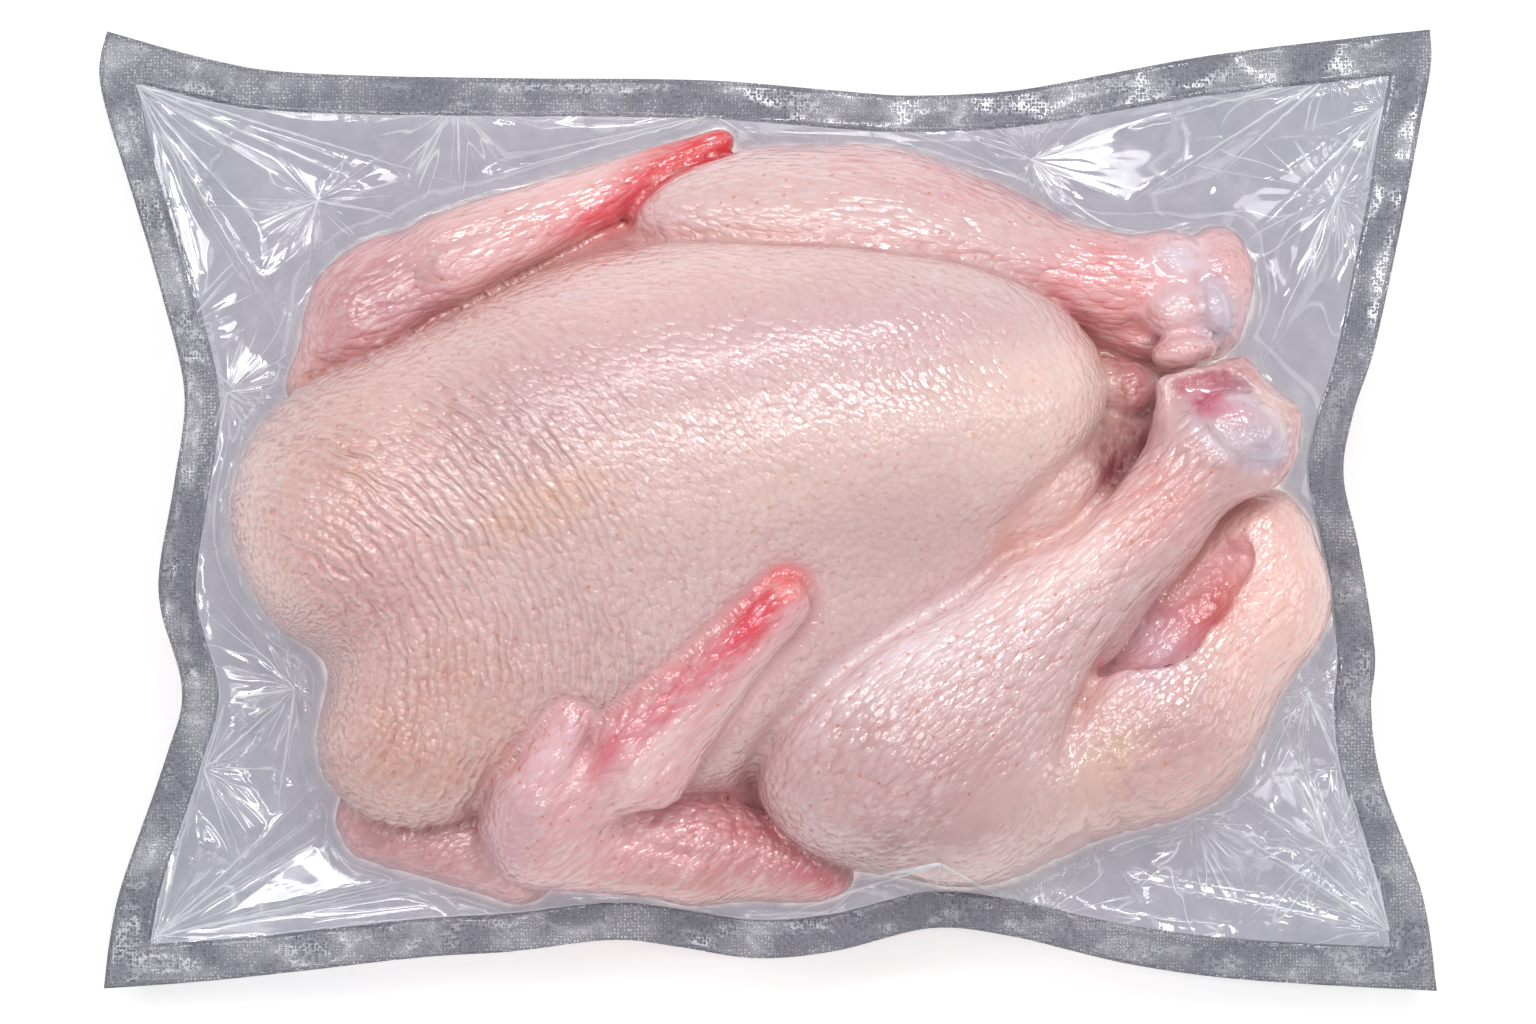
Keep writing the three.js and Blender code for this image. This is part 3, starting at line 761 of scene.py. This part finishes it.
# Creases of the web: where a fan of them starts, and where each ends
FANS = [
    ((-172, 116), [(-134, 54), (-138, 77), (-122, 84), (-102, 85), (-83, 88), (-156, 80)]),
    ((-122, 84), [(-126, 70), (-96, 79), (-138, 77)]),
    ((-84, 110), [(-83, 88), (-72, 94), (-102, 85)]),
    ((-15, 107), [(-71, 95), (-83, 88), (-2, 99)]),
    ((-160, 48), [(-139, 28), (-152, 64), (-144, 66)]),
    ((167, 110), [(128, 71), (135, 69), (140, 57), (161, 87)]),
    ((153, 119), [(90, 102), (124, 112), (97, 83), (121, 90)]),
    ((71, 95), [(38, 107), (90, 102), (97, 83)]),
    ((154, 85), [(155, 67), (151, 74), (132, 38)]),
    ((-167, -116), [(-121, -73), (-120, -80), (-115, -85), (-91, -100), (-85, -97), (-154, -70)]),
    ((-153, -70), [(-131, -51), (-145, -95), (-147, -51)]),
    ((-128, -48), [(-148, -51), (-153, -70), (-153, -22), (-134, -85)]),
    ((-146, 32), [(-139, 28), (-150, 14), (-150, 24), (-129, 36)]),
    ((169, -114), [(94, -98), (121, -83), (129, -77), (143, -64), (156, -68)]),
    ((152, -91), [(143, -57), (129, -77), (143, -64)]),
    ((115, -83), [(121, -83), (102, -98)]),
    ((46, -94), [(22, -100), (73, -110), (3, -110), (44, -108)]),
    ((75, -110), [(80, -103), (63, -102)]),
    ((146, -49), [(143, -63), (152, -60)]),
]
# Folds that cross the skin
SKIN_FOLDS = [
    [(-126, 11), (-144, -3)], [(-112, -78), (-95, -86), (-78, -76)], [(145, -5), (148, -22), (144, -40)],
    [(-134, 54), (-126, 34)],
]


def fold_nodes():
    """Places where folds of the web meet, the folds between them, and how high each place stands."""
    rng = np.random.default_rng(5)
    places = []
    edges = []
    for start, ends in FANS:
        for place in (start, *ends):
            if place not in places:
                places.append(place)
        edges += [(places.index(start), places.index(end)) for end in ends]
    heights = list(rng.uniform(-1, 1, len(places)))
    heights = [math.copysign(0.5 + 0.5 * abs(h), h) * FOLD_HEIGHT for h in heights]
    for place in rng.uniform((-180, -130), (180, 130), (300, 2)):
        if min(math.dist(place, other) for other in places) > 7.5:
            places.append(tuple(place))
            heights.append(rng.uniform(-0.6, 0.6) * FOLD_HEIGHT)
    return places, edges, heights


def facets(x, y):
    """Flat facets of folded film, between the places where its folds meet."""
    places, edges, heights = fold_nodes()
    corners = [(-200, -150), (200, -150), (200, 150), (-200, 150)]
    count = len(places)
    found = geometry.delaunay_2d_cdt([Vector(p) for p in places + corners], edges, [], 0, 1e-3)
    verts = np.array([tuple(v) for v in found[0]])
    known = np.array(heights + [0.0] * len(corners))
    lifts = np.array([known[origin].mean() if origin else np.nan for origin in found[3]])
    for lost in np.argwhere(np.isnan(lifts)).ravel():
        near = np.linalg.norm(np.array(places) - verts[lost], axis=1)
        lifts[lost] = known[:count][near.argmin()] * 0.5
    height = np.zeros(x.size)
    flat = np.stack([x.ravel(), y.ravel()], -1)
    for face in found[2]:
        a, b, c = verts[list(face)]
        inside = np.flatnonzero(np.all((flat >= np.minimum(np.minimum(a, b), c)), 1)
                                & np.all((flat <= np.maximum(np.maximum(a, b), c)), 1))
        area = np.cross(b - a, c - a)
        wb = np.cross(flat[inside] - a, c - a) / area
        wc = np.cross(b - a, flat[inside] - a) / area
        within = (wb >= 0) & (wc >= 0) & (wb + wc <= 1)
        lift = lifts[list(face)] @ np.stack([1 - wb - wc, wb, wc])
        height[inside[within]] = lift[within]
    return height.reshape(x.shape)


def folds(grid):
    p = np.stack([grid.x.ravel(), grid.y.ravel(), np.zeros(grid.x.size)], -1)
    z = (0.3 * noise(p, 22, 31) + 0.12 * noise(p, 9, 32)).reshape(grid.x.shape)
    return z + mean_of_neighbours(facets(grid.x, grid.y))


def film_heights(grid, web, side):
    """Heights of the upper film (side 1) or the lower one (side -1)."""
    middle = resample(web[0], web[1], grid)
    bare = smoothstep(bird_reach(grid), 0, 6)
    sealed = smoothstep(grid.inset, SEAL_WIDTH - 1, SEAL_WIDTH + 4)
    middle = middle + folds(grid) * bare * sealed
    half = WEB_THICKNESS / 2
    if side > 0:
        bound = np.where(grid.bird, np.maximum(grid.top + FILM_GAP, middle + half), middle + half)
    else:
        bound = np.where(grid.bird, np.minimum(grid.back - FILM_GAP, middle - half), middle - half)
        bound = np.maximum(bound, 0.05)
    cell = BAG_LENGTH / (len(grid.u) - 1)
    bend = cell**2 / (4 * DRAPE_RADIUS)
    z = bound
    for _ in range(DRAPE_STEPS):
        mean = mean_of_neighbours(z)
        draped = np.maximum(bound, mean - bend) if side > 0 else np.minimum(bound, mean + bend)
        z = np.where(grid.sealed, bound, draped)
    return np.minimum(z, box_high[2] / MM), bare


def fan_places(grid):
    """Places round the nearest fan of folds, for creases that run out from its start."""
    flat = np.stack([grid.x.ravel(), grid.y.ravel()], -1)
    starts = np.array([start for start, _ in FANS], float)
    away = np.linalg.norm(flat[:, None] - starts[None], axis=2)
    order = np.argsort(away, axis=1)
    row = np.arange(len(flat))
    nearest, next_one = order[:, 0], order[:, 1]
    near = away[row, nearest]
    middles = np.array([np.mean(ends, axis=0) for _, ends in FANS]) - starts
    ways = np.arctan2(middles[:, 1], middles[:, 0])
    out = flat - starts[nearest]
    angle = (np.arctan2(out[:, 1], out[:, 0]) - ways[nearest] + np.pi) % (2 * np.pi) - np.pi
    fan = np.stack([near / 40, angle * 2.4, nearest * 7.3], -1)
    creased = smoothstep(away[row, next_one] - near, 0, 6) * (1 - smoothstep(near, 15, 60))
    return fan, creased * (1 - smoothstep(np.abs(angle), 2.4, 3.0)) * smoothstep(near, 1, 4)


def bird_reach(grid):
    """Roughly how far each place is from the bird, up to some millimetres."""
    reach = np.where(grid.bird, 0.0, 9.0)
    for _ in range(round(9.0 / grid.cell)):
        reach = np.minimum(reach, np.minimum.reduce(neighbours(reach)) + grid.cell)
    return mean_of_neighbours(reach)


# Meshes and materials
def mesh_object(name, points, faces, offset):
    mesh = bpy.data.meshes.new(name)
    mesh.vertices.add(len(points))
    mesh.vertices.foreach_set("co", ((points + offset) * MM).astype(np.float32).ravel())
    sides = faces.shape[1]
    mesh.loops.add(faces.size)
    mesh.loops.foreach_set("vertex_index", faces.ravel().astype(np.int32))
    mesh.polygons.add(len(faces))
    mesh.polygons.foreach_set("loop_start", np.arange(0, faces.size, sides, dtype=np.int32))
    mesh.update(calc_edges=True)
    mesh.validate()
    mesh.polygons.foreach_set("use_smooth", np.ones(len(faces), bool))
    piece = bpy.data.objects.new(name, mesh)
    bpy.context.scene.collection.objects.link(piece)
    return piece


def grid_faces(rows, columns, keep=None, flip=False):
    at = np.arange(rows * columns).reshape(rows, columns)
    quads = np.stack([at[:-1, :-1], at[:-1, 1:], at[1:, 1:], at[1:, :-1]], -1)
    quads = quads[keep] if keep is not None else quads.reshape(-1, 4)
    return quads[:, ::-1] if flip else quads


def set_values(piece, name, values):
    attribute = piece.data.attributes.new(name, "FLOAT", "POINT")
    attribute.data.foreach_set("value", np.asarray(values, np.float32).ravel())


def set_vectors(piece, name, vectors):
    attribute = piece.data.attributes.new(name, "FLOAT_VECTOR", "POINT")
    attribute.data.foreach_set("vector", np.asarray(vectors, np.float32).ravel())


def set_colours(piece, name, colours):
    attribute = piece.data.color_attributes.new(name, "FLOAT_COLOR", "POINT")
    rgba = np.concatenate([colours, np.ones((len(colours), 1))], 1).astype(np.float32)
    attribute.data.foreach_set("color", rgba.ravel())


class Nodes:
    """A material's node tree, with short calls to add and join nodes."""

    def __init__(self, name):
        self.material = bpy.data.materials.new(name)
        self.material.use_nodes = True
        self.tree = self.material.node_tree
        self.tree.nodes.clear()

    def add(self, kind, inputs=None, **settings):
        node = self.tree.nodes.new(kind)
        for key, value in settings.items():
            setattr(node, key, value)
        for key, value in (inputs or {}).items():
            if isinstance(value, bpy.types.NodeSocket):
                self.tree.links.new(value, node.inputs[key])
            else:
                node.inputs[key].default_value = value
        return node

    def attribute(self, name, output="Fac"):
        return self.add("ShaderNodeAttribute", attribute_name=name).outputs[output]

    def math(self, operation, a, b=0.0, c=0.0):
        node = self.add("ShaderNodeMath", {0: a, 1: b, 2: c}, operation=operation)
        return node.outputs[0]

    def times(self, a, b):
        return self.math("MULTIPLY", a, b)

    def mix(self, factor, a, b, blend_type="MIX"):
        node = self.add("ShaderNodeMix", data_type="RGBA", blend_type=blend_type)
        for socket, value in ((node.inputs[0], factor), (node.inputs[6], a), (node.inputs[7], b)):
            if isinstance(value, bpy.types.NodeSocket):
                self.tree.links.new(value, socket)
            else:
                socket.default_value = value
        return node.outputs[2]

    def ramp(self, value, low, high):
        node = self.add("ShaderNodeMapRange", {"Value": value, "From Min": low, "From Max": high})
        return node.outputs[0]

    def bump(self, height, distance):
        node = self.add("ShaderNodeBump", {"Height": height, "Strength": 1.0, "Distance": distance})
        return node.outputs[0]

    def finish(self, inputs):
        shader = self.add("ShaderNodeBsdfPrincipled", inputs)
        self.add("ShaderNodeOutputMaterial", {"Surface": shader.outputs[0]})
        return self.material


def skin_material():
    n = Nodes("raw_skin")
    place = n.add("ShaderNodeTexCoord").outputs["Object"]
    tint = n.attribute("tint", "Color")
    flow = n.attribute("flow", "Vector")
    grit = n.attribute("grit")
    furrow = n.attribute("furrow")
    cells = n.add("ShaderNodeTexVoronoi", {"Vector": flow, "Scale": 0.5}).outputs["Distance"]
    streaks = n.add("ShaderNodeTexNoise", {
        "Vector": flow, "Scale": 0.4, "Detail": 3.0, "Roughness": 0.65,
    }).outputs["Fac"]
    lines = n.add("ShaderNodeTexWave", {
        "Vector": flow, "Scale": 0.115, "Distortion": 6.0, "Detail": 1.0, "Detail Scale": 1.2,
    }).outputs["Fac"]
    # Whitish crests, pinker and darker furrows between the goose bumps (partly the skin's own tone, partly
    # painted shade in the hollows), and a few orange pores
    white = n.times(n.ramp(streaks, 0.5, 0.3), n.times(grit, 0.5))
    colour = n.mix(white, tint, (0.86, 0.7, 0.69, 1))
    pink_and_shade = n.times(n.ramp(cells, 0.4, 0.85), n.times(grit, 0.5))
    pink_and_shade = n.math("MULTIPLY_ADD", n.times(n.ramp(lines, 0.5, 0.05), furrow), 0.5, pink_and_shade)
    colour = n.mix(pink_and_shade, colour, (0.94, 0.74, 0.7, 1), "MULTIPLY")
    pores = n.add("ShaderNodeTexVoronoi", {"Vector": place, "Scale": 240.0}).outputs["Distance"]
    pore = n.times(n.math("LESS_THAN", pores, 0.13), grit)
    colour = n.mix(n.times(pore, 0.8), colour, (0.9, 0.5, 0.28, 1), "MULTIPLY")
    relief = n.math("MULTIPLY_ADD", n.times(cells, cells), -0.8, n.times(streaks, 0.6))
    relief = n.times(relief, grit)
    relief = n.math("MULTIPLY_ADD", n.times(lines, furrow), 0.6, relief)
    bump = n.bump(relief, 0.0008)
    return n.finish({
        "Base Color": colour, "Roughness": 0.45, "Normal": bump,
        "Coat Weight": 1.0, "Coat Roughness": 0.05, "Coat Normal": bump, "Coat IOR": 1.75,
    })


def film_material(name):
    n = Nodes(name)
    cover = n.attribute("cover")
    fan = n.attribute("fan", "Vector")
    creased = n.attribute("creased")
    creases = n.add("ShaderNodeTexNoise", {"Vector": fan, "Scale": 1.0, "Detail": 1.0}).outputs["Fac"]
    edge = n.math("ABSOLUTE", n.math("SUBTRACT", creases, 0.5))
    # Thin white lines along the fan creases, in colour and in alpha: a painted highlight for the glint of
    # each crease
    line = n.times(n.ramp(edge, 0.02, 0.0), creased)
    bump = n.bump(n.times(n.ramp(edge, 0.0, 0.25), creased), 0.0006)
    return n.finish({
        "Base Color": n.mix(line, FILM_GREY, (0.85, 0.86, 0.9, 1)), "Roughness": 0.08, "IOR": 3.0,
        "Normal": bump, "Alpha": n.math("MULTIPLY_ADD", line, 0.35, cover),
    })


def tight_film_material():
    """Film that lies wet on the skin, where all but a trace of it is lost to the eye."""
    n = Nodes("film_on_skin")
    return n.finish({
        "Base Color": (0.4, 0.4, 0.46, 1), "Roughness": 0.08, "IOR": 2.4, "Alpha": SKIN_COVER,
    })


def rib_material():
    n = Nodes("painted_fold_glint")
    # Painted highlight: white folds, with alpha for how strongly each one glints
    shine = n.attribute("shine")
    return n.finish({
        "Base Color": (0.85, 0.86, 0.9, 1), "Roughness": 0.3, "Alpha": shine,
    })


def seal_material():
    n = Nodes("embossed_seal_painted_sheen")
    run = n.attribute("seal_place", "Vector")
    # The seal's colour is painted light: each embossed dot gets its own brightness, lighter in its middle
    # than at its rim, as painted glints, and large patches brighten as a painted reflection
    dots = n.add("ShaderNodeTexVoronoi", {"Vector": run, "Scale": 1.1, "Randomness": 0.5})
    shine = n.add("ShaderNodeSeparateColor", {"Color": dots.outputs["Color"]}).outputs[0]
    place = n.add("ShaderNodeTexCoord").outputs["Object"]
    reflection_patches = n.add("ShaderNodeTexNoise", {"Vector": place, "Scale": 60.0, "Detail": 4.0}).outputs["Fac"]
    dimple = n.ramp(dots.outputs["Distance"], 0.15, 0.5)
    bump = n.bump(dimple, 0.0004)
    painted_sheen = n.math("MULTIPLY_ADD", shine, 0.5, n.ramp(reflection_patches, 0.42, 0.64))
    painted_sheen = n.times(painted_sheen, n.math("SUBTRACT", 1.2, dimple))
    grey = n.mix(n.ramp(painted_sheen, 0.1, 1.2), (0.2, 0.2, 0.26, 1), (0.95, 0.95, 1, 1))
    return n.finish({
        "Base Color": grey, "Roughness": 0.22, "IOR": 2.2, "Normal": bump, "Alpha": 0.8,
    })


def dress(piece, material):
    piece.data.materials.append(material)
    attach(piece, "root")
    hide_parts(BAG_NODE)
    return piece


# Making
box_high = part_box(BAG_NODE)[1]
outline = bag_plan(np.linspace(0, 1, 77), np.linspace(0, 1, 55)).reshape(-1, 2)
outline_middle = (outline.min(0) + outline.max(0)) / 2
OFFSET = np.array([-outline_middle[0], -outline_middle[1], 0.0])


def make_bird():
    points, quads = bird_mesh()
    weights = part_weights(points)
    _, normals = surface_normals(points)
    flow, calm = skin_flow(points, weights)
    # Faces that span two parts would show torn streaks
    torn = np.ptp(flow[quads], axis=1).max(axis=1) > 5
    calm[quads[torn].ravel()] = 0
    relief = smooth_min(skin_relief(points, weights, flow), HIGHEST_BUMP, 0.4)
    relief *= smoothstep(points[:, 2], 0.5, 6)
    points = points + normals * (relief - SKIN_DEPTH)[:, None]
    points[:, 2] = np.maximum(points[:, 2], FILM_GAP)
    bird = mesh_object("chicken", points, quads, OFFSET)
    set_colours(bird, "tint", skin_colours(points, weights, flow))
    set_vectors(bird, "flow", flow)
    set_values(bird, "grit", calm * skin_grit(points, weights))
    set_values(bird, "furrow", calm * furrow_lines(points, weights, flow)[1])
    return dress(bird, skin_material())


def make_films():
    web = web_heights()
    for name, cell, side in (("upper_film", UPPER_CELL, 1), ("lower_film", LOWER_CELL, -1)):
        grid = FilmGrid(cell)
        z, bare = film_heights(grid, web, side)
        points = np.stack([grid.x, grid.y, z], -1).reshape(-1, 3)
        inside = grid.inset[:-1, :-1] >= SEAL_WIDTH - cell
        inside &= grid.inset[1:, 1:] >= SEAL_WIDTH - cell
        film = mesh_object(name, points, grid_faces(*z.shape, inside, side < 0), OFFSET)
        hazy = 1 + 0.1 * noise(points, 3, 41) + 0.12 * noise(points, 8, 42)
        clear = smoothstep(bird_reach(grid), 0, 1.5).ravel()
        set_values(film, "cover", (SKIN_COVER + (WEB_COVER[side] - SKIN_COVER) * clear) * hazy)
        fan, creased = fan_places(grid)
        set_vectors(film, "fan", fan)
        set_values(film, "creased", creased * bare.ravel())
        dress(film, film_material(name + "_clear"))
        film.data.materials.append(tight_film_material())
        rows, columns = z.shape
        tight = (clear <= 0).reshape(rows, columns)
        tight = tight[:-1, :-1] & tight[1:, :-1] & tight[:-1, 1:] & tight[1:, 1:]
        film.data.polygons.foreach_set("material_index", tight[inside].astype(np.int32))
        if side > 0:
            make_ribs(film)
    return web


def rib_lines():
    """Lines of the sharp folds, each with its width and how bright its painted highlight is."""
    rng = np.random.default_rng(12)
    lines = []
    for start, ends in FANS:
        for end in ends:
            lines.append(([start, end], rng.uniform(0.45, 0.9), rng.uniform(0.6, 1.0)))
        # Finer folds fan out between them
        angles = [math.atan2(end[1] - start[1], end[0] - start[0]) for end in ends]
        for _ in range(len(ends) + 3):
            angle = rng.choice(angles) + rng.normal(0, 0.25)
            reach = np.array((math.cos(angle), math.sin(angle)))
            begin = rng.uniform(0, 6)
            far = begin + rng.uniform(8, 32)
            width, white = rng.uniform(0.2, 0.4), rng.uniform(0.3, 0.7)
            lines.append(([start + reach * begin, start + reach * far], width, white))
    for line in SKIN_FOLDS:
        lines.append((line, 0.35, 0.3))
    # The films part along the inside of the sealed edge, which gets a painted highlight line too
    u, v = (SEAL_WIDTH + 0.6) / BAG_LENGTH, (SEAL_WIDTH + 0.6) / BAG_DEPTH
    along, across = np.linspace(u, 1 - u, 60), np.linspace(v, 1 - v, 45)
    for side in (u, 1 - u):
        lines.append((bag_plan(np.array([side]), across)[:, 0], 0.45, 0.55))
    for side in (v, 1 - v):
        lines.append((bag_plan(along, np.array([side]))[0], 0.45, 0.55))
    return lines


def make_ribs(film):
    """Thin ridges on the upper film, where it is folded sharply, painted white: a painted highlight for the
    glint along each fold.
    """
    mesh = film.data
    corners = [v.co.copy() for v in mesh.vertices]
    surface = BVHTree.FromPolygons(corners, [tuple(f.vertices) for f in mesh.polygons])
    points, faces, shine = [], [], []
    rng = np.random.default_rng(3)
    for line, width, white in rib_lines():
        bends = np.array(line, float)
        run = np.concatenate([[0], np.cumsum(np.linalg.norm(np.diff(bends, axis=0), axis=1))])
        steps = max(4, round(run[-1] / 2))
        way = np.linspace(0, run[-1], steps + 1)
        path = np.stack([np.interp(way, run, bends[:, k]) for k in (0, 1)], -1)
        path += rng.normal(0, 0.1, path.shape) + OFFSET[:2]
        ahead = np.gradient(path, axis=0)
        aside = np.stack([-ahead[:, 1], ahead[:, 0]], -1) / np.linalg.norm(ahead, axis=1, keepdims=True)
        last = None
        for i, (place, across) in enumerate(zip(path, aside)):
            found = surface.ray_cast(Vector((*(place * MM), 0.2)), Vector((0, 0, -1)))[0]
            if found is None:
                last = None
                continue
            share = i / steps
            half = width / 2 * (0.3 + 0.7 * math.sin(math.pi * min(1, share + 0.15)) ** 0.6)
            crest = np.array((*place, found.z / MM + 0.08))
            sideways = np.array((*across, 0)) * half
            row = len(points)
            points += [crest - sideways, crest + (0, 0, 0.22), crest + sideways]
            shine += [white * (1 - 0.6 * share) * rng.uniform(0.7, 1)] * 3
            if last is not None:
                faces += [(last, last + 1, row + 1, row), (last + 1, last + 2, row + 2, row + 1)]
            last = row
    ribs = mesh_object("film_folds", np.array(points), np.array(faces), np.zeros(3))
    set_values(ribs, "shine", shine)
    return dress(ribs, rib_material())


def make_seal(web):
    grid = FilmGrid(LOWER_CELL)
    upper = resample(web[0], web[1], grid) + WEB_THICKNESS / 2
    flat = np.stack([grid.x.ravel(), grid.y.ravel(), 0 * grid.x.ravel()], -1)
    buckles = (1.2 * noise(flat, 14, 51) + 0.4 * noise(flat, 6, 52)).reshape(upper.shape)
    upper = upper + buckles * smoothstep(SEAL_WIDTH - grid.inset, 0, 4)
    points = np.stack([grid.x, grid.y, upper], -1).reshape(-1, 3)
    edge = ~((grid.inset[:-1, :-1] > SEAL_WIDTH) & (grid.inset[1:, 1:] > SEAL_WIDTH))
    seal = mesh_object("sealed_edge", points, grid_faces(*upper.shape, edge), OFFSET)
    set_vectors(seal, "seal_place", points * (1, 1, 0))
    thick = seal.modifiers.new("two_films", "SOLIDIFY")
    thick.thickness = WEB_THICKNESS * MM
    return dress(seal, seal_material())


def make_stage():
    far, level = 4000, -0.3
    corners = np.array([(-far, -far, level), (far, -far, level), (far, far, level), (-far, far, level)])
    floor = mesh_object("floor", corners, np.array([(0, 1, 2, 3)]), np.zeros(3))
    n = Nodes("pale_floor")
    floor.data.materials.append(n.finish({
        "Base Color": (0.9, 0.9, 0.9, 1), "Roughness": 0.7,
        "Emission Color": (1, 1, 1, 1), "Emission Strength": 0.35,
    }))
    world = bpy.data.worlds.new("studio")
    world.use_nodes = True
    world.node_tree.nodes["Background"].inputs[0].default_value = (1, 1, 1, 1)
    world.node_tree.nodes["Background"].inputs[1].default_value = 0.38
    bpy.context.scene.world = world
    # Soft boxes stand off to the sides, so flat film shows grey and tilted film flashes white
    boxes = [
        ("key", (0.32, 0.6, 1.15), (0.34, 0.34), 4.0),
        ("right", (0.95, 0.0, 0.6), (0.5, 0.3), 1.0),
        ("left", (-0.72, 0.25, 1.0), (0.3, 0.3), 1.2),
        ("front", (-0.1, -0.95, 0.6), (0.5, 0.3), 0.4),
        ("far_strip", (-0.15, 0.6, 1.25), (0.6, 0.06), 1.2),
        ("near_strip", (-0.2, -0.55, 1.3), (0.6, 0.06), 0.9),
        ("left_strip", (-0.62, 0.1, 1.25), (0.06, 0.5), 1.2),
        ("right_strip", (0.64, -0.05, 1.25), (0.06, 0.5), 0.9),
        ("far_panel", (-0.2, 0.42, 1.35), (0.4, 0.12), 1.1),
        ("left_panel", (-0.4, -0.1, 1.35), (0.12, 0.4), 1.3),
        ("right_panel", (0.4, -0.25, 1.35), (0.1, 0.3), 0.7),
    ]
    for name, place, (wide, high), power in boxes:
        lamp = bpy.data.lights.new(name, "AREA")
        lamp.shape = "RECTANGLE"
        lamp.size, lamp.size_y = wide, high
        lamp.energy = power
        light = bpy.data.objects.new(name, lamp)
        light.location = place
        light.rotation_euler = (-Vector(place)).to_track_quat("-Z", "Y").to_euler()
        bpy.context.scene.collection.objects.link(light)


def make_camera():
    # The frame is 415 mm wide at the height of the bird's sides
    data = bpy.data.cameras.new("above")
    data.lens = 200
    data.sensor_width = 36
    frame_width, level = 0.415, 0.035
    camera = bpy.data.objects.new("above", data)
    camera.location = (0.0, -0.0005, level + frame_width * data.lens / data.sensor_width)
    bpy.context.scene.collection.objects.link(camera)
    bpy.context.scene.camera = camera


make_camera()
make_stage()
make_bird()
make_seal(make_films())
scene = bpy.context.scene
scene.view_settings.view_transform = "Standard"
